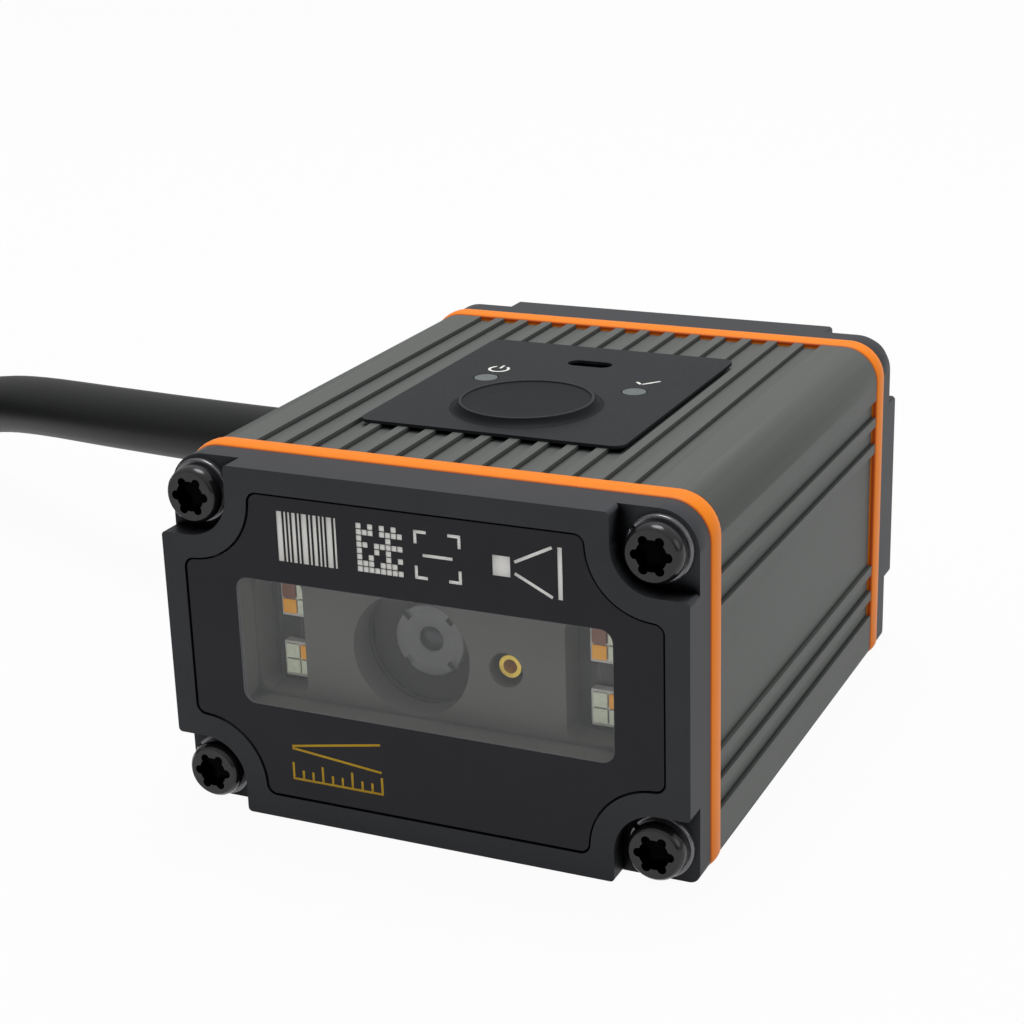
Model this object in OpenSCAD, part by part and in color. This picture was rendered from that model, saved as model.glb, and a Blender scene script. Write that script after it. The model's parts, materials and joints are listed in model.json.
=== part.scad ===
// Fixed-mount barcode reader: a ribbed aluminium tube closed by two screwed end caps, with the
// reading window in the front cap, a trigger key on top and a captive cable in the left wall.
// The origin is on the base under the middle of the tube. The window faces -Y and +Z is up.

/* [Reader] */
// Width over the end caps
reader_w = 50; // [48:0.5:64]
// Height over the end caps
reader_h = 33.4; // [32:0.2:44]
// Length over the end caps, without the screw heads
reader_l = 62; // [56:1:90]
// Corner radius at the top
top_corner_r = 3.5; // [2:0.25:5]
// Corner radius at the base
base_corner_r = 1; // [1:0.25:5]

/* [End caps] */
// Depth of the raised block of a cap
cap_block_t = 2.35; // [2:0.05:4]
// Thickness of the flange behind the block
cap_flange_t = 2.5; // [1.8:0.1:4]
// Thickness of the gasket between a flange and the tube
gasket_t = 2.6; // [1:0.1:4]
// Side of the corner pocket around a screw head
pocket_w = 6.9; // [6.6:0.1:9]
// Radius of the pocket's inner corner
pocket_r = 4; // [1:0.25:4.5]
// Radius of the block's outer corners
block_tip_r = 0.4; // [0.2:0.1:1]
// Distance of a cap screw's axis from both sides of the cap
screw_inset = 3.3; // [3.1:0.1:4]

/* [Tube] */
// How far the rib tops lie inside the caps' outline
skin_inset = 0; // [0:0.05:0.5]
// Distance from rib to rib
rib_pitch = 2.8; // [2.2:0.1:2.9]
// Width of a rib
rib_w = 1; // [0.6:0.1:1.6]
// Depth of the grooves between the ribs
rib_depth = 0.45; // [0.2:0.05:0.8]
// Number of ribs on the top
top_rib_count = 13; // [5:2:13]
// Number of ribs in each group on a side
side_rib_count = 2; // [1:1:2]
// Height of the smooth band at the top of each side
side_top_band = 5.3; // [4:0.1:6]
// Height of the smooth band at the base of each side
side_base_band = 4.6; // [4:0.1:7]
// Wall behind the grooves
wall_t = 1.8; // [1.4:0.1:2]
// Floor of the tube
floor_t = 3; // [2.4:0.1:4]
// Radius of the metal around a screw channel
channel_r = 3; // [2.4:0.1:3.4]
// Height of a rail that guides a board
rail_t = 1; // [0.6:0.1:1.2]
// How far a rail stands out of the wall
rail_w = 1.2; // [0.8:0.1:1.3]

/* [Base mount] */
// Hole spacing across the reader
mount_dx = 30; // [20:1:32]
// Hole spacing along the reader
mount_dy = 30; // [20:1:36]
// Tapping size of the M3 mounting holes
mount_hole_d = 2.5; // [2:0.1:3.2]
// Depth of the mounting holes
mount_hole_l = 4.2; // [3:0.1:4.6]
// Width of the thick strip that a row of mounting holes is tapped into
mount_strip_w = 8; // [6:0.5:10]
// Height of that strip over the floor
mount_strip_h = 2.4; // [1.8:0.1:3]

/* [Cap screws] */
// Thread diameter
screw_d = 3; // [2.5:0.1:3.2]
// Length under the head
screw_l = 12; // [9:0.5:16]
// Head diameter
screw_head_d = 5.2; // [5:0.1:6]
// Head height
screw_head_h = 1.6; // [1.2:0.05:2.4]
// Lock washer outside diameter
washer_d = 5.9; // [5.4:0.1:6.2]
// Lock washer thickness
washer_t = 0.75; // [0.5:0.05:1]
// Radial play of a screw in its holes
screw_play = 0.1; // [0.05:0.05:0.3]

/* [Window] */
// Width of the frame left around the front panel
panel_margin = 2.35; // [2:0.05:3]
// Gap round the front panel
panel_gap = 0.2; // [0.1:0.05:0.4]
// Radius of the panel's outer corners
panel_tip_r = 0.8; // [0.4:0.1:1.5]
// How far the panel lies behind the front of the cap
panel_sink = 0.1; // [0:0.05:0.4]
// Thickness of the clear pane
pane_t = 1; // [0.6:0.1:1.2]
// Thickness of the black mask behind the pane
mask_t = 0.2; // [0.1:0.05:0.3]
// Distance of the clear window from the cap's sides
window_side = 6.9; // [6.7:0.05:8]
// Height of the clear window
window_h = 12.5; // [11:0.1:13.5]
// Corner radius of the clear window
window_r = 1.2; // [0.5:0.1:3]

/* [Optics] */
// How far the shroud's walls stand back from the window's edge
shroud_back = 0.2; // [0.1:0.05:0.4]
// Wall of the shroud
shroud_wall = 1.1; // [0.8:0.05:1.3]
// Thickness of the shroud's face plate
plate_t = 2.8; // [2:0.1:3.2]
// Thickness of the shroud's rim behind the cap
rim_t = 0.95; // [0.6:0.05:1.5]
// Width of the shroud's rim behind the cap
rim_w = 1.7; // [1.2:0.1:1.9]
// How far the shroud's walls lean in between the window and the face plate
shroud_lean = 0.5; // [0.2:0.05:0.8]
// Width of the openings for the lights
light_open_w = 4.8; // [4:0.1:5.4]
// Height of the openings for the lights
light_open_h = 11; // [9:0.1:11.5]
// Distance of the lights' openings from the window's ends to their middles
light_inset = 3; // [2.9:0.05:3.3]
// Place of the lens across the reader
lens_x = -2.05; // [-4:0.05:0]
// Radius of the opening for the lens
lens_open_r = 5.7; // [5:0.05:5.8]
// Radius of the lens barrel
barrel_r = 3.5; // [2.6:0.05:3.7]
// Length of the lens barrel
barrel_l = 6.4; // [5:0.1:7]
// Radius of the lens
lens_r = 1.2; // [0.8:0.05:1.5]
// Place of the aiming tube across the reader
aimer_x = 7.1; // [6:0.1:8.5]
// Outside radius of the aiming tube
aimer_r = 1.05; // [0.8:0.05:1.3]
// Radius of the opening around the aiming tube
aimer_open_r = 1.6; // [1.4:0.05:2]
// Distance between the middles of the upper and lower lights
light_dz = 5.9; // [5:0.1:6.2]
// Width of a light's package
light_w = 3.2; // [2.8:0.1:3.4]
// Height of a light's package
light_h = 3.4; // [3:0.1:3.6]
// Thickness of a light's package
light_t = 1; // [0.6:0.1:1.4]
// Distance from die to die in a light
die_pitch = 1.5; // [1.3:0.05:1.6]
// Side of a die
die_w = 1.3; // [0.8:0.05:1.35]
// How far a die stands out of its package
die_t = 0.15; // [0.05:0.05:0.3]
// Thickness of the illumination and sensor boards
optics_board_t = 1; // [0.8:0.1:1.4]
// Length of the posts between those boards
post_l = 10; // [9:0.5:14]
// Radius of the posts
post_r = 1.4; // [1.2:0.05:1.6]

/* [Boards] */
// Thickness of the decoder and key boards
board_t = 1.2; // [0.8:0.1:1.4]
// Play of a board between its rails
board_play = 0.05; // [0.05:0.05:0.2]
// Height of the decoder board's underside
decoder_z = 7.7; // [7.4:0.1:9]
// Depth of the key board's underside under the rib tops
key_board_drop = 7.6; // [7.2:0.1:8]

/* [Top] */
// Width of the overlay
overlay_w = 26.2; // [24:0.2:30]
// Length of the overlay
overlay_l = 30; // [28:0.5:34]
// Corner radius of the overlay
overlay_r = 1.2; // [0.5:0.1:3]
// Thickness of the overlay
overlay_t = 0.3; // [0.15:0.05:0.4]
// Place of the overlay's middle along the reader
overlay_y = -0.6; // [-2:0.1:2]
// Place of the trigger key along the reader
key_y = -6.75; // [-8:0.05:-4]
// Base radius of the trigger key
key_base_r = 7.1; // [6.5:0.05:7.5]
// Radius of the trigger key's rim
key_rim_r = 6.3; // [5:0.05:6.4]
// Height of the trigger key over the overlay
key_rise = 0.75; // [0.4:0.05:1.2]
// Depth of the dish in the trigger key's top
key_dish = 0.15; // [0:0.05:0.3]
// Travel of the trigger key
key_travel = 0.35; // [0.2:0.05:0.45]
// Play around the trigger key and the pipes
key_play = 0.1; // [0.05:0.05:0.2]
// Radius of the switch plunger
plunger_r = 1.6; // [1.2:0.05:1.8]
// Height of the switch
switch_h = 2.8; // [2.4:0.1:3]
// Distance between the status windows
status_dx = 15.5; // [13:0.1:18]
// Place of the status windows along the reader
status_y = 0.8; // [0:0.1:2]
// Radius of the status windows
status_r = 1.15; // [0.8:0.05:1.4]
// Length of the sounder slot
slot_l = 4.6; // [4:0.1:6]
// Width of the sounder slot
slot_w = 2; // [1:0.1:2.5]
// Place of the sounder slot along the reader
slot_y = 8.5; // [7:0.1:10]

/* [Cable] */
// Cable diameter
cable_d = 7.4; // [5:0.1:7.6]
// Distance of the strain relief's middle from the tube's rear end
relief_rear = 5.75; // [5.6:0.05:12]
// Height of the strain relief
relief_z = 18.6; // [16:0.1:18.8]
// Radius of the strain relief's collar
collar_r = 5.3; // [5:0.05:5.4]
// Radius of the strain relief's neck in the wall
neck_r = 4.6; // [4.2:0.05:4.8]
// How far the strain relief reaches out of the wall
relief_l = 15; // [12:0.5:18]

/* [Hidden] */
$fn = 64;

// Overlap used where a cut has to pass a face
over = 0.02;
// Middle height of the window and the optics
mid_z = reader_h / 2;
// Stations along the reader
front_y = -reader_l / 2;
cap_back_d = cap_block_t + cap_flange_t;
tube_y = front_y + cap_back_d + gasket_t;
tube_l = reader_l - 2 * (cap_back_d + gasket_t);
rear_y = -front_y;
// Heights and half widths of the tube
skin_x = reader_w / 2 - skin_inset;
skin_z = reader_h - skin_inset;
groove_x = skin_x - rib_depth;
groove_z = skin_z - rib_depth;
cavity_x = groove_x - wall_t;
cavity_z = groove_z - wall_t;
groove_w = rib_pitch - rib_w;
top_span = (top_rib_count + 1) * groove_w + top_rib_count * rib_w;
panel_top_z = reader_h - side_top_band - side_rib_count * rib_pitch;
panel_base_z = side_base_band + side_rib_count * rib_pitch;
// Screw axes, as signs across and heights
screw_x = reader_w / 2 - screw_inset;
screw_zs = [screw_inset, reader_h - screw_inset];
screw_hole_r = screw_d / 2 + screw_play;
// Depths behind the front of the cap
ledge_d = panel_sink + pane_t + mask_t;
plate_back_d = cap_back_d + rim_t;
plate_front_d = plate_back_d - plate_t;
light_board_d = plate_back_d;
sensor_board_d = light_board_d + post_l;
sensor_back_d = sensor_board_d + optics_board_t;
// Shroud and the boards behind it
window_w = reader_w - 2 * window_side;
light_x = window_w / 2 - light_inset;
box_w = window_w + 2 * shroud_back;
box_h = window_h + 2 * shroud_back;
shroud_w = box_w + 2 * shroud_wall;
shroud_h = box_h + 2 * shroud_wall;
shroud_play = 0.1;
rim_full_w = shroud_w + 2 * rim_w;
rim_full_h = shroud_h + 2 * rim_w;
post_x = rim_full_w / 2 - post_r;
post_dz = rim_full_h / 2 - post_r;
light_shift = die_pitch / 2;
optics_screw_r = 0.9;
optics_screw_l = 5;
optics_head_r = post_r;
optics_head_h = 1.2;
// Lens holder on the sensor board
holder_w = 13;
holder_d = light_board_d + 2.6;
holder_l = sensor_board_d - holder_d;
barrel_d = light_board_d + 0.9;
lens_d = barrel_d + 0.3;
sensor_w = 6;
sensor_t = 0.9;
sensor_room_w = 8;
sensor_room_l = 2.2;
aimer_d = plate_front_d + 0.9;
emitter_l = 3.8;
emitter_r = 1.65;
// Boards that slide in the tube's rails
board_x = cavity_x - 2 * board_play;
key_board_z = skin_z - key_board_drop;
key_face_z = key_board_z + board_t;
decoder_face_z = decoder_z + board_t;
board_gap = 0.6;
board_y = front_y + sensor_back_d + optics_head_h + board_gap;
board_l = tube_y + tube_l - board_gap - board_y;
// Overlay and key
overlay_top_z = skin_z + overlay_t;
key_seat_r = key_base_r + 0.4;
key_seat_z = skin_z - key_travel - 0.15;
plunger_root_z = key_face_z + switch_h - 1;
pipe_base_z = key_face_z + 1;
// Strain relief
relief_y = tube_y + tube_l - relief_rear;
relief_flange_t = 2;
relief_inner_t = 1.4;
relief_tip_r = cable_d / 2 + 0.4;

// Cable route from the strain relief to the coil
route_out = [
    [-40, 17.8, 18.6], [-44, 17.8, 18.6], [-56, 20.9, 17.7], [-70, 25.2, 16.5], [-85, 31.2, 14.7],
    [-95, 35.9, 12.7], [-105, 40.4, 9.7], [-113, 44.1, 7.1], [-121, 47.6, 5.3], [-129, 50.8, 4.75],
    [-138, 53.5, 4.7], [-148, 54.6, 4.7]
];
cable_sides = 12;
// Coil of the rest of the cable: turns side by side and on each other
coil_centre = [-148, 7];
coil_mid_r = 40;
coil_pitch = 7.6;
coil_columns = 3;
coil_layers = 2;
coil_z = 1;
coil_play = 0.3;
coil_w = (coil_columns - 1) * coil_pitch + cable_d + 2 * coil_play;
coil_h = (coil_layers - 1) * coil_pitch + cable_d;
tie_w = 12;
tie_t = 0.9;
tie_play = 0.6;
// Last half turn, which leaves the top of the coil, comes down beside it and ends straight, with the turns t
// counted from where the cable enters the coil
tail_out = 9.8;
tail_drop = 7.9;
tail_end_l = 5;
tail_turn = [
    for (k = [0 : 10])
        let (
            t = 5 + k / 20,
            r = coil_mid_r + coil_pitch + tail_out * settle((t - 4.95) / 0.4),
            z = coil_z + coil_h - cable_d / 2 - tail_drop * settle((t - 5.15) / 0.35)
        )
        [coil_centre[0] - r * sin(360 * t), coil_centre[1] + r * cos(360 * t), z]
];
route_tail = concat(tail_turn, [tail_turn[10] + [tail_end_l, 0, 0]]);
// Plug on the end of the tail
plug_w = 15.6;
plug_h = 7.8;
plug_l = 30;
plug_neck_l = 10;
plug_neck_r = 4.4;
plug_r = 2;
shell_w = 12;
shell_h = 4.5;
shell_l = 19;
shell_wall = 0.35;
tongue_h = 1.8;

// A smooth step from 0 to 1
function settle(t) = let (c = min(max(t, 0), 1)) c * c * (3 - 2 * c);

// A solid of the children's outline, where the outline's second axis is Z, from y over the length l
module along_y(y, l) {
    translate([0, y + l, 0])
        rotate([90, 0, 0])
            linear_extrude(l)
                children();
}

// A cylinder along Y
module rod_y(x, y, z, r, l) {
    translate([x, y + l, z])
        rotate([90, 0, 0])
            cylinder(r = r, h = l);
}

// The children at the four cap screws, as an outline
module at_screws() {
    for (side = [-1, 1])
        for (z = screw_zs)
            translate([side * screw_x, z])
                children();
}

// A rectangle about the origin with round corners
module round_rect(w, h, r) {
    square([w - 2 * r, h], center = true);
    square([w, h - 2 * r], center = true);
    for (x = [-1, 1])
        for (y = [-1, 1])
            translate([x * (w / 2 - r), y * (h / 2 - r)])
                circle(r);
}

// The reader's section on its base, with its own radii at the top and the base
module section_outline(inset) {
    w = reader_w - 2 * inset;
    h = reader_h - inset;
    translate([-w / 2, base_corner_r])
        square([w, h - base_corner_r - top_corner_r]);
    translate([-w / 2 + base_corner_r, 0])
        square([w - 2 * base_corner_r, base_corner_r]);
    translate([-w / 2 + top_corner_r, h - top_corner_r])
        square([w - 2 * top_corner_r, top_corner_r]);
    for (side = [-1, 1]) {
        translate([side * (w / 2 - base_corner_r), base_corner_r])
            circle(base_corner_r);
        translate([side * (w / 2 - top_corner_r), h - top_corner_r])
            circle(top_corner_r);
    }
}

// A square notch that starts at the origin, with its far corner round
module corner_notch(n, r) {
    translate([-over, -over])
        square([n + over, n - r + over]);
    translate([-over, -over])
        square([n - r + over, n + over]);
    translate([n - r, n - r])
        circle(r);
}

// What a convex corner at the origin, with the shape below and left of it, loses to its radius
module corner_loss(r) {
    translate([-r, -r])
        difference() {
            square(r + over);
            circle(r);
        }
}

// A rectangle about the origin with a notch in each corner
module notched_rect(w, h, notch, notch_r, tip_r) {
    difference() {
        square([w, h], center = true);
        for (x = [0, 1])
            for (y = [0, 1])
                mirror([x, 0])
                    mirror([0, y]) {
                        translate([w / 2, h / 2])
                            rotate(180)
                                corner_notch(notch, notch_r);
                        translate([w / 2 - notch, h / 2])
                            corner_loss(tip_r);
                        translate([w / 2, h / 2 - notch])
                            corner_loss(tip_r);
                    }
    }
}

// The front panel's outline, which keeps its distance from the cap's edge and its pockets
module panel_outline(grow) {
    notch_r = min(pocket_r + panel_margin, pocket_w - 0.2);
    translate([0, mid_z])
        notched_rect(
            reader_w - 2 * panel_margin + 2 * grow,
            reader_h - 2 * panel_margin + 2 * grow,
            pocket_w, notch_r - grow, panel_tip_r + grow
        );
}

// The clear part of the front panel
module window_outline() {
    translate([0, mid_z])
        round_rect(window_w, window_h, window_r);
}

// The space inside the tube and the gaskets, which leaves metal around the screw channels
module cavity_outline() {
    difference() {
        translate([-cavity_x, floor_t])
            square([2 * cavity_x, cavity_z - floor_t]);
        at_screws()
            circle(channel_r);
    }
}

// Rails on both side walls, over and under a board
module board_rails(z) {
    for (side = [-1, 1])
        for (rail_z = [z - board_play - rail_t, z + board_t + board_play])
            translate([side * (cavity_x - rail_w / 2), rail_z + rail_t / 2])
                square([rail_w + over, rail_t], center = true);
}

// Grooves between the ribs of the top
module top_grooves() {
    for (i = [0 : top_rib_count])
        translate([-top_span / 2 + i * rib_pitch, groove_z])
            square([groove_w, rib_depth + skin_inset + over]);
}

// Grooves and flat panel of the right side
module side_grooves() {
    deep = rib_depth + skin_inset + over;
    for (k = [0 : side_rib_count - 1]) {
        translate([groove_x, reader_h - side_top_band - groove_w - k * rib_pitch])
            square([deep, groove_w]);
        translate([groove_x, side_base_band + k * rib_pitch])
            square([deep, groove_w]);
    }
    translate([groove_x, panel_base_z])
        square([deep, panel_top_z - panel_base_z]);
}

// The tube's whole section
module tube_section() {
    difference() {
        section_outline(skin_inset);
        top_grooves();
        side_grooves();
        mirror([1, 0])
            side_grooves();
        difference() {
            cavity_outline();
            board_rails(decoder_z);
            board_rails(key_board_z);
            for (side = [-1, 1])
                translate([side * mount_dx / 2, floor_t])
                    square([mount_strip_w, 2 * mount_strip_h], center = true);
        }
        at_screws()
            circle(screw_hole_r);
    }
}

// The sounder slot's outline, seen from above
module slot_outline() {
    translate([0, slot_y])
        round_rect(slot_l, slot_w, slot_w / 2 - over);
}

module housing_extrusion() {
    color("#5f625d")
        difference() {
            along_y(tube_y, tube_l)
                tube_section();
            // Seat and passage of the trigger key
            translate([0, key_y, key_seat_z])
                cylinder(r = key_seat_r, h = reader_h);
            translate([0, key_y, cavity_z - over])
                cylinder(r = plunger_r + 0.5, h = reader_h);
            // Passages of the status lights and of the sounder
            for (side = [-1, 1])
                translate([side * status_dx / 2, status_y, cavity_z - over])
                    cylinder(r = status_r + key_play, h = reader_h);
            translate([0, 0, cavity_z - over])
                linear_extrude(reader_h)
                    slot_outline();
            // Seat and passage of the strain relief
            translate([-groove_x, relief_y, relief_z])
                rotate([0, -90, 0])
                    cylinder(r = collar_r + 0.2, h = reader_w);
            translate([-cavity_x + over, relief_y, relief_z])
                rotate([0, -90, 0])
                    cylinder(r = neck_r + screw_play, h = reader_w);
            // Mounting holes in the base
            for (x = [-1, 1])
                for (y = [-1, 1])
                    translate([x * mount_dx / 2, y * mount_dy / 2, -over])
                        cylinder(d = mount_hole_d, h = mount_hole_l + over);
        }
}

// Block and flange of an end cap, with the screw holes, the block towards -Y
module cap_blank() {
    difference() {
        union() {
            along_y(front_y, cap_block_t)
                translate([0, mid_z])
                    notched_rect(reader_w, reader_h, pocket_w, pocket_r, block_tip_r);
            along_y(front_y + cap_block_t, cap_flange_t)
                section_outline(0);
        }
        along_y(front_y - over, cap_back_d + 2 * over)
            at_screws()
                circle(screw_hole_r);
    }
}

module front_bezel() {
    color("#26262b")
        difference() {
            cap_blank();
            along_y(front_y - over, ledge_d + over)
                panel_outline(panel_gap);
            along_y(front_y, cap_back_d + over)
                translate([0, mid_z])
                    round_rect(shroud_w + 2 * shroud_play, shroud_h + 2 * shroud_play, window_r);
        }
}

module rear_cover() {
    color("#26262b")
        mirror([0, 1, 0])
            cap_blank();
}

// A gasket from y on, open inside and at the screws
module gasket(y) {
    along_y(y, gasket_t)
        difference() {
            section_outline(0);
            cavity_outline();
            at_screws()
                circle(screw_hole_r);
        }
}

module front_gasket() {
    color("#f5953a")
        gasket(front_y + cap_back_d);
}

module rear_gasket() {
    color("#f5953a")
        gasket(tube_y + tube_l);
}

// Six-lobed driver recess
module lobe_outline() {
    circle(r = screw_d * 0.46);
    for (a = [0 : 60 : 300])
        rotate(a)
            translate([screw_d * 0.47, 0])
                circle(r = screw_d * 0.14);
}

// A pan head screw that enters along +Z, its seat at the origin
module pan_screw() {
    r = screw_head_d / 2;
    edge = 0.55 * screw_head_h;
    difference() {
        union() {
            rotate_extrude()
                polygon([
                    [0, 0], [r, 0], [r, -edge], [0.96 * r, -0.8 * screw_head_h],
                    [0.86 * r, -screw_head_h], [0, -screw_head_h]
                ]);
            translate([0, 0, -over])
                cylinder(d = screw_d, h = screw_l + over);
        }
        translate([0, 0, -screw_head_h - over])
            linear_extrude(0.65 * screw_head_h)
                lobe_outline();
    }
}

// A split spring washer on its seat at the origin, on the side of -Z
module lock_washer() {
    gap = 0.5;
    translate([0, 0, -washer_t])
        difference() {
            cylinder(d = washer_d, h = washer_t);
            translate([0, 0, -over])
                cylinder(r = screw_hole_r, h = washer_t + 2 * over);
            translate([0, -gap / 2, -over])
                cube([washer_d, gap, washer_t + 2 * over]);
        }
}

// The children on the front cap's flange at each screw, their +Z into the reader
module at_front_seats() {
    for (side = [-1, 1])
        for (z = screw_zs)
            translate([side * screw_x, front_y + cap_block_t, z])
                rotate([-90, 0, 0])
                    children();
}

module front_screws() {
    color("#1c1c20")
        at_front_seats()
            translate([0, 0, -washer_t])
                pan_screw();
}

module front_washers() {
    color("#2c2c30")
        at_front_seats()
            rotate(-145)
                lock_washer();
}

module rear_screws() {
    mirror([0, 1, 0])
        front_screws();
}

module rear_washers() {
    mirror([0, 1, 0])
        front_washers();
}

module window_pane() {
    color("#8a8f92", 0.35)
        along_y(front_y + panel_sink, pane_t)
            panel_outline(0);
}

module window_mask() {
    color("#2b2b2f")
        along_y(front_y + panel_sink + pane_t, mask_t)
            difference() {
                panel_outline(0);
                window_outline();
            }
}

// The openings of the shroud's face plate
module plate_openings() {
    for (side = [-1, 1])
        translate([side * light_x, mid_z])
            round_rect(light_open_w, light_open_h, 1);
    translate([lens_x, mid_z])
        circle(lens_open_r);
    translate([aimer_x, mid_z])
        circle(aimer_open_r);
}

// One pair of the tray's leaning walls: its section from the window back to the face plate
module tray_section(w) {
    polygon([
        [-w / 2, ledge_d - over], [w / 2, ledge_d - over],
        [w / 2 - shroud_lean, plate_front_d], [-w / 2 + shroud_lean, plate_front_d]
    ]);
}

// The open tray in front of the face plate
module shroud_tray() {
    translate([0, front_y, mid_z])
        intersection() {
            linear_extrude(reader_h, center = true)
                tray_section(box_w);
            rotate([0, 90, 0])
                linear_extrude(reader_w, center = true)
                    tray_section(box_h);
        }
}

// The children at the four posts behind the shroud, as an outline
module at_posts() {
    for (side = [-1, 1])
        for (up = [-1, 1])
            translate([side * post_x, mid_z + up * post_dz])
                children();
}

module light_shroud() {
    color("#5d5e59")
        difference() {
            union() {
                along_y(front_y + ledge_d, plate_back_d - ledge_d)
                    translate([0, mid_z])
                        round_rect(shroud_w, shroud_h, window_r);
                along_y(front_y + cap_back_d, rim_t)
                    translate([0, mid_z])
                        round_rect(rim_full_w, rim_full_h, post_r);
                along_y(front_y + plate_back_d - over, post_l + over)
                    at_posts()
                        circle(post_r);
            }
            shroud_tray();
            along_y(front_y, plate_back_d + over)
                plate_openings();
            along_y(front_y + sensor_board_d - optics_screw_l, optics_screw_l + over)
                at_posts()
                    circle(optics_screw_r + screw_play);
        }
}

// The outline of a board behind the shroud
module optics_board_outline() {
    translate([0, mid_z])
        round_rect(rim_full_w, rim_full_h, post_r);
}

module illumination_board() {
    color("#5a5b56")
        along_y(front_y + light_board_d, optics_board_t)
            difference() {
                optics_board_outline();
                at_posts()
                    circle(post_r + screw_play);
                translate([lens_x, mid_z])
                    circle(lens_open_r);
                translate([aimer_x, mid_z])
                    circle(aimer_r + 0.05);
            }
}

// The children at each light of a row, on the illumination board, as an outline
module at_lights(row) {
    for (side = [-1, 1])
        translate([side * light_x + light_shift, mid_z + row * light_dz / 2])
            children();
}

// Dies at the listed places of a light: the side across and the row in the light
module dies(places) {
    for (place = places)
        translate(place * die_pitch / 2)
            square(die_w, center = true);
}

// The children as thin solids on the packages' faces
module on_packages() {
    along_y(front_y + light_board_d - light_t - die_t, die_t)
        children();
}

module light_packages() {
    color("#d9dcd2")
        along_y(front_y + light_board_d - light_t, light_t)
            for (row = [-1, 1])
                at_lights(row)
                    square([light_w, light_h], center = true);
}

module amber_dies() {
    color("#e8962e")
        on_packages() {
            at_lights(1)
                dies([[-1, -1]]);
            at_lights(-1)
                dies([[1, 1]]);
        }
}

module brown_dies() {
    color("#6d4a35")
        on_packages()
            at_lights(1)
                dies([[-1, 1]]);
}

module pale_dies() {
    color("#c9cfba")
        on_packages() {
            at_lights(1)
                dies([[1, -1], [1, 1]]);
            at_lights(-1)
                dies([[-1, -1], [-1, 1], [1, -1]]);
        }
}

module lens_holder() {
    color("#3a3b3b")
        difference() {
            along_y(front_y + holder_d, holder_l)
                translate([lens_x, mid_z])
                    round_rect(holder_w, holder_w, 1);
            rod_y(lens_x, front_y, mid_z, barrel_r + 0.05, sensor_board_d);
            along_y(front_y + sensor_board_d - sensor_room_l, sensor_room_l + over)
                translate([lens_x, mid_z])
                    square(sensor_room_w, center = true);
        }
}

module lens_barrel() {
    mouth_r = 0.75 * barrel_r;
    notch_w = 0.7;
    notch_d = 0.6;
    color("#4c4d4d")
        translate([lens_x, front_y + barrel_d, mid_z])
            rotate([-90, 0, 0])
                difference() {
                    rotate_extrude()
                        polygon([
                            [mouth_r, 0], [barrel_r - 0.2, 0], [barrel_r, 0.2], [barrel_r, barrel_l],
                            [lens_r, barrel_l], [lens_r, lens_d - barrel_d]
                        ]);
                    for (a = [45 : 90 : 315])
                        rotate(a)
                            translate([mouth_r, -notch_w / 2, -over])
                                cube([barrel_r, notch_w, notch_d]);
                }
}

module lens() {
    dome_r = 2.5 * lens_r;
    lens_l = 2;
    color("#9fb4bb", 0.5)
        translate([lens_x, front_y + lens_d, mid_z])
            rotate([-90, 0, 0])
                intersection() {
                    cylinder(r = lens_r, h = lens_l);
                    translate([0, 0, dome_r])
                        sphere(dome_r);
                }
}

module image_sensor() {
    color("#23262b")
        along_y(front_y + sensor_board_d - sensor_t, sensor_t)
            translate([lens_x, mid_z])
                square([sensor_w, 0.8 * sensor_w], center = true);
}

module sensor_board() {
    color("#1d3b2c")
        along_y(front_y + sensor_board_d, optics_board_t)
            difference() {
                optics_board_outline();
                at_posts()
                    circle(optics_screw_r + screw_play);
            }
}

module optics_screws() {
    color("#b9bcc0") {
        along_y(front_y + sensor_back_d, optics_head_h)
            at_posts()
                circle(optics_head_r);
        along_y(front_y + sensor_back_d + over - optics_screw_l, optics_screw_l)
            at_posts()
                circle(optics_screw_r);
    }
}

module aimer_tube() {
    bore_r = 0.62 * aimer_r;
    bore_l = 3;
    tube_end_d = sensor_board_d - emitter_l;
    color("#d8b84a")
        difference() {
            rod_y(aimer_x, front_y + aimer_d, mid_z, aimer_r, tube_end_d - aimer_d);
            rod_y(aimer_x, front_y + aimer_d - over, mid_z, bore_r, bore_l);
        }
}

module aimer_emitter() {
    color("#8c8f93")
        rod_y(aimer_x, front_y + sensor_board_d - emitter_l, mid_z, emitter_r, emitter_l);
}

// Flexible strip from the sensor board's back down to the decoder board
module sensor_flex() {
    strip_w = 12;
    strip_t = 0.2;
    bend_r = 2;
    rise = 4;
    run = 3;
    y0 = front_y + sensor_back_d;
    color("#c98a2b")
        translate([-strip_w / 2, y0, decoder_face_z])
            rotate([90, 0, 90])
                linear_extrude(strip_w) {
                    translate([0, bend_r])
                        square([strip_t, rise]);
                    translate([bend_r, 0])
                        square([run, strip_t]);
                    translate([bend_r, bend_r])
                        difference() {
                            circle(bend_r);
                            circle(bend_r - strip_t);
                            translate([-2 * bend_r, 0])
                                square(4 * bend_r);
                            translate([0, -2 * bend_r])
                                square(4 * bend_r);
                        }
                }
}

module decoder_board() {
    color("#1d3b2c")
        translate([-board_x, board_y, decoder_z])
            cube([2 * board_x, board_l, board_t]);
}

module decoder_chips() {
    chip_w = 13;
    memory_w = 8;
    chip_h = 1.3;
    chip_front = 4.5;
    chip_gap = 2;
    color("#202124") {
        translate([-chip_w / 2, board_y + chip_front, decoder_face_z])
            cube([chip_w, chip_w, chip_h]);
        translate([chip_w / 2 + chip_gap, board_y + chip_front, decoder_face_z])
            cube([memory_w, chip_w, chip_h]);
    }
}

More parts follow.
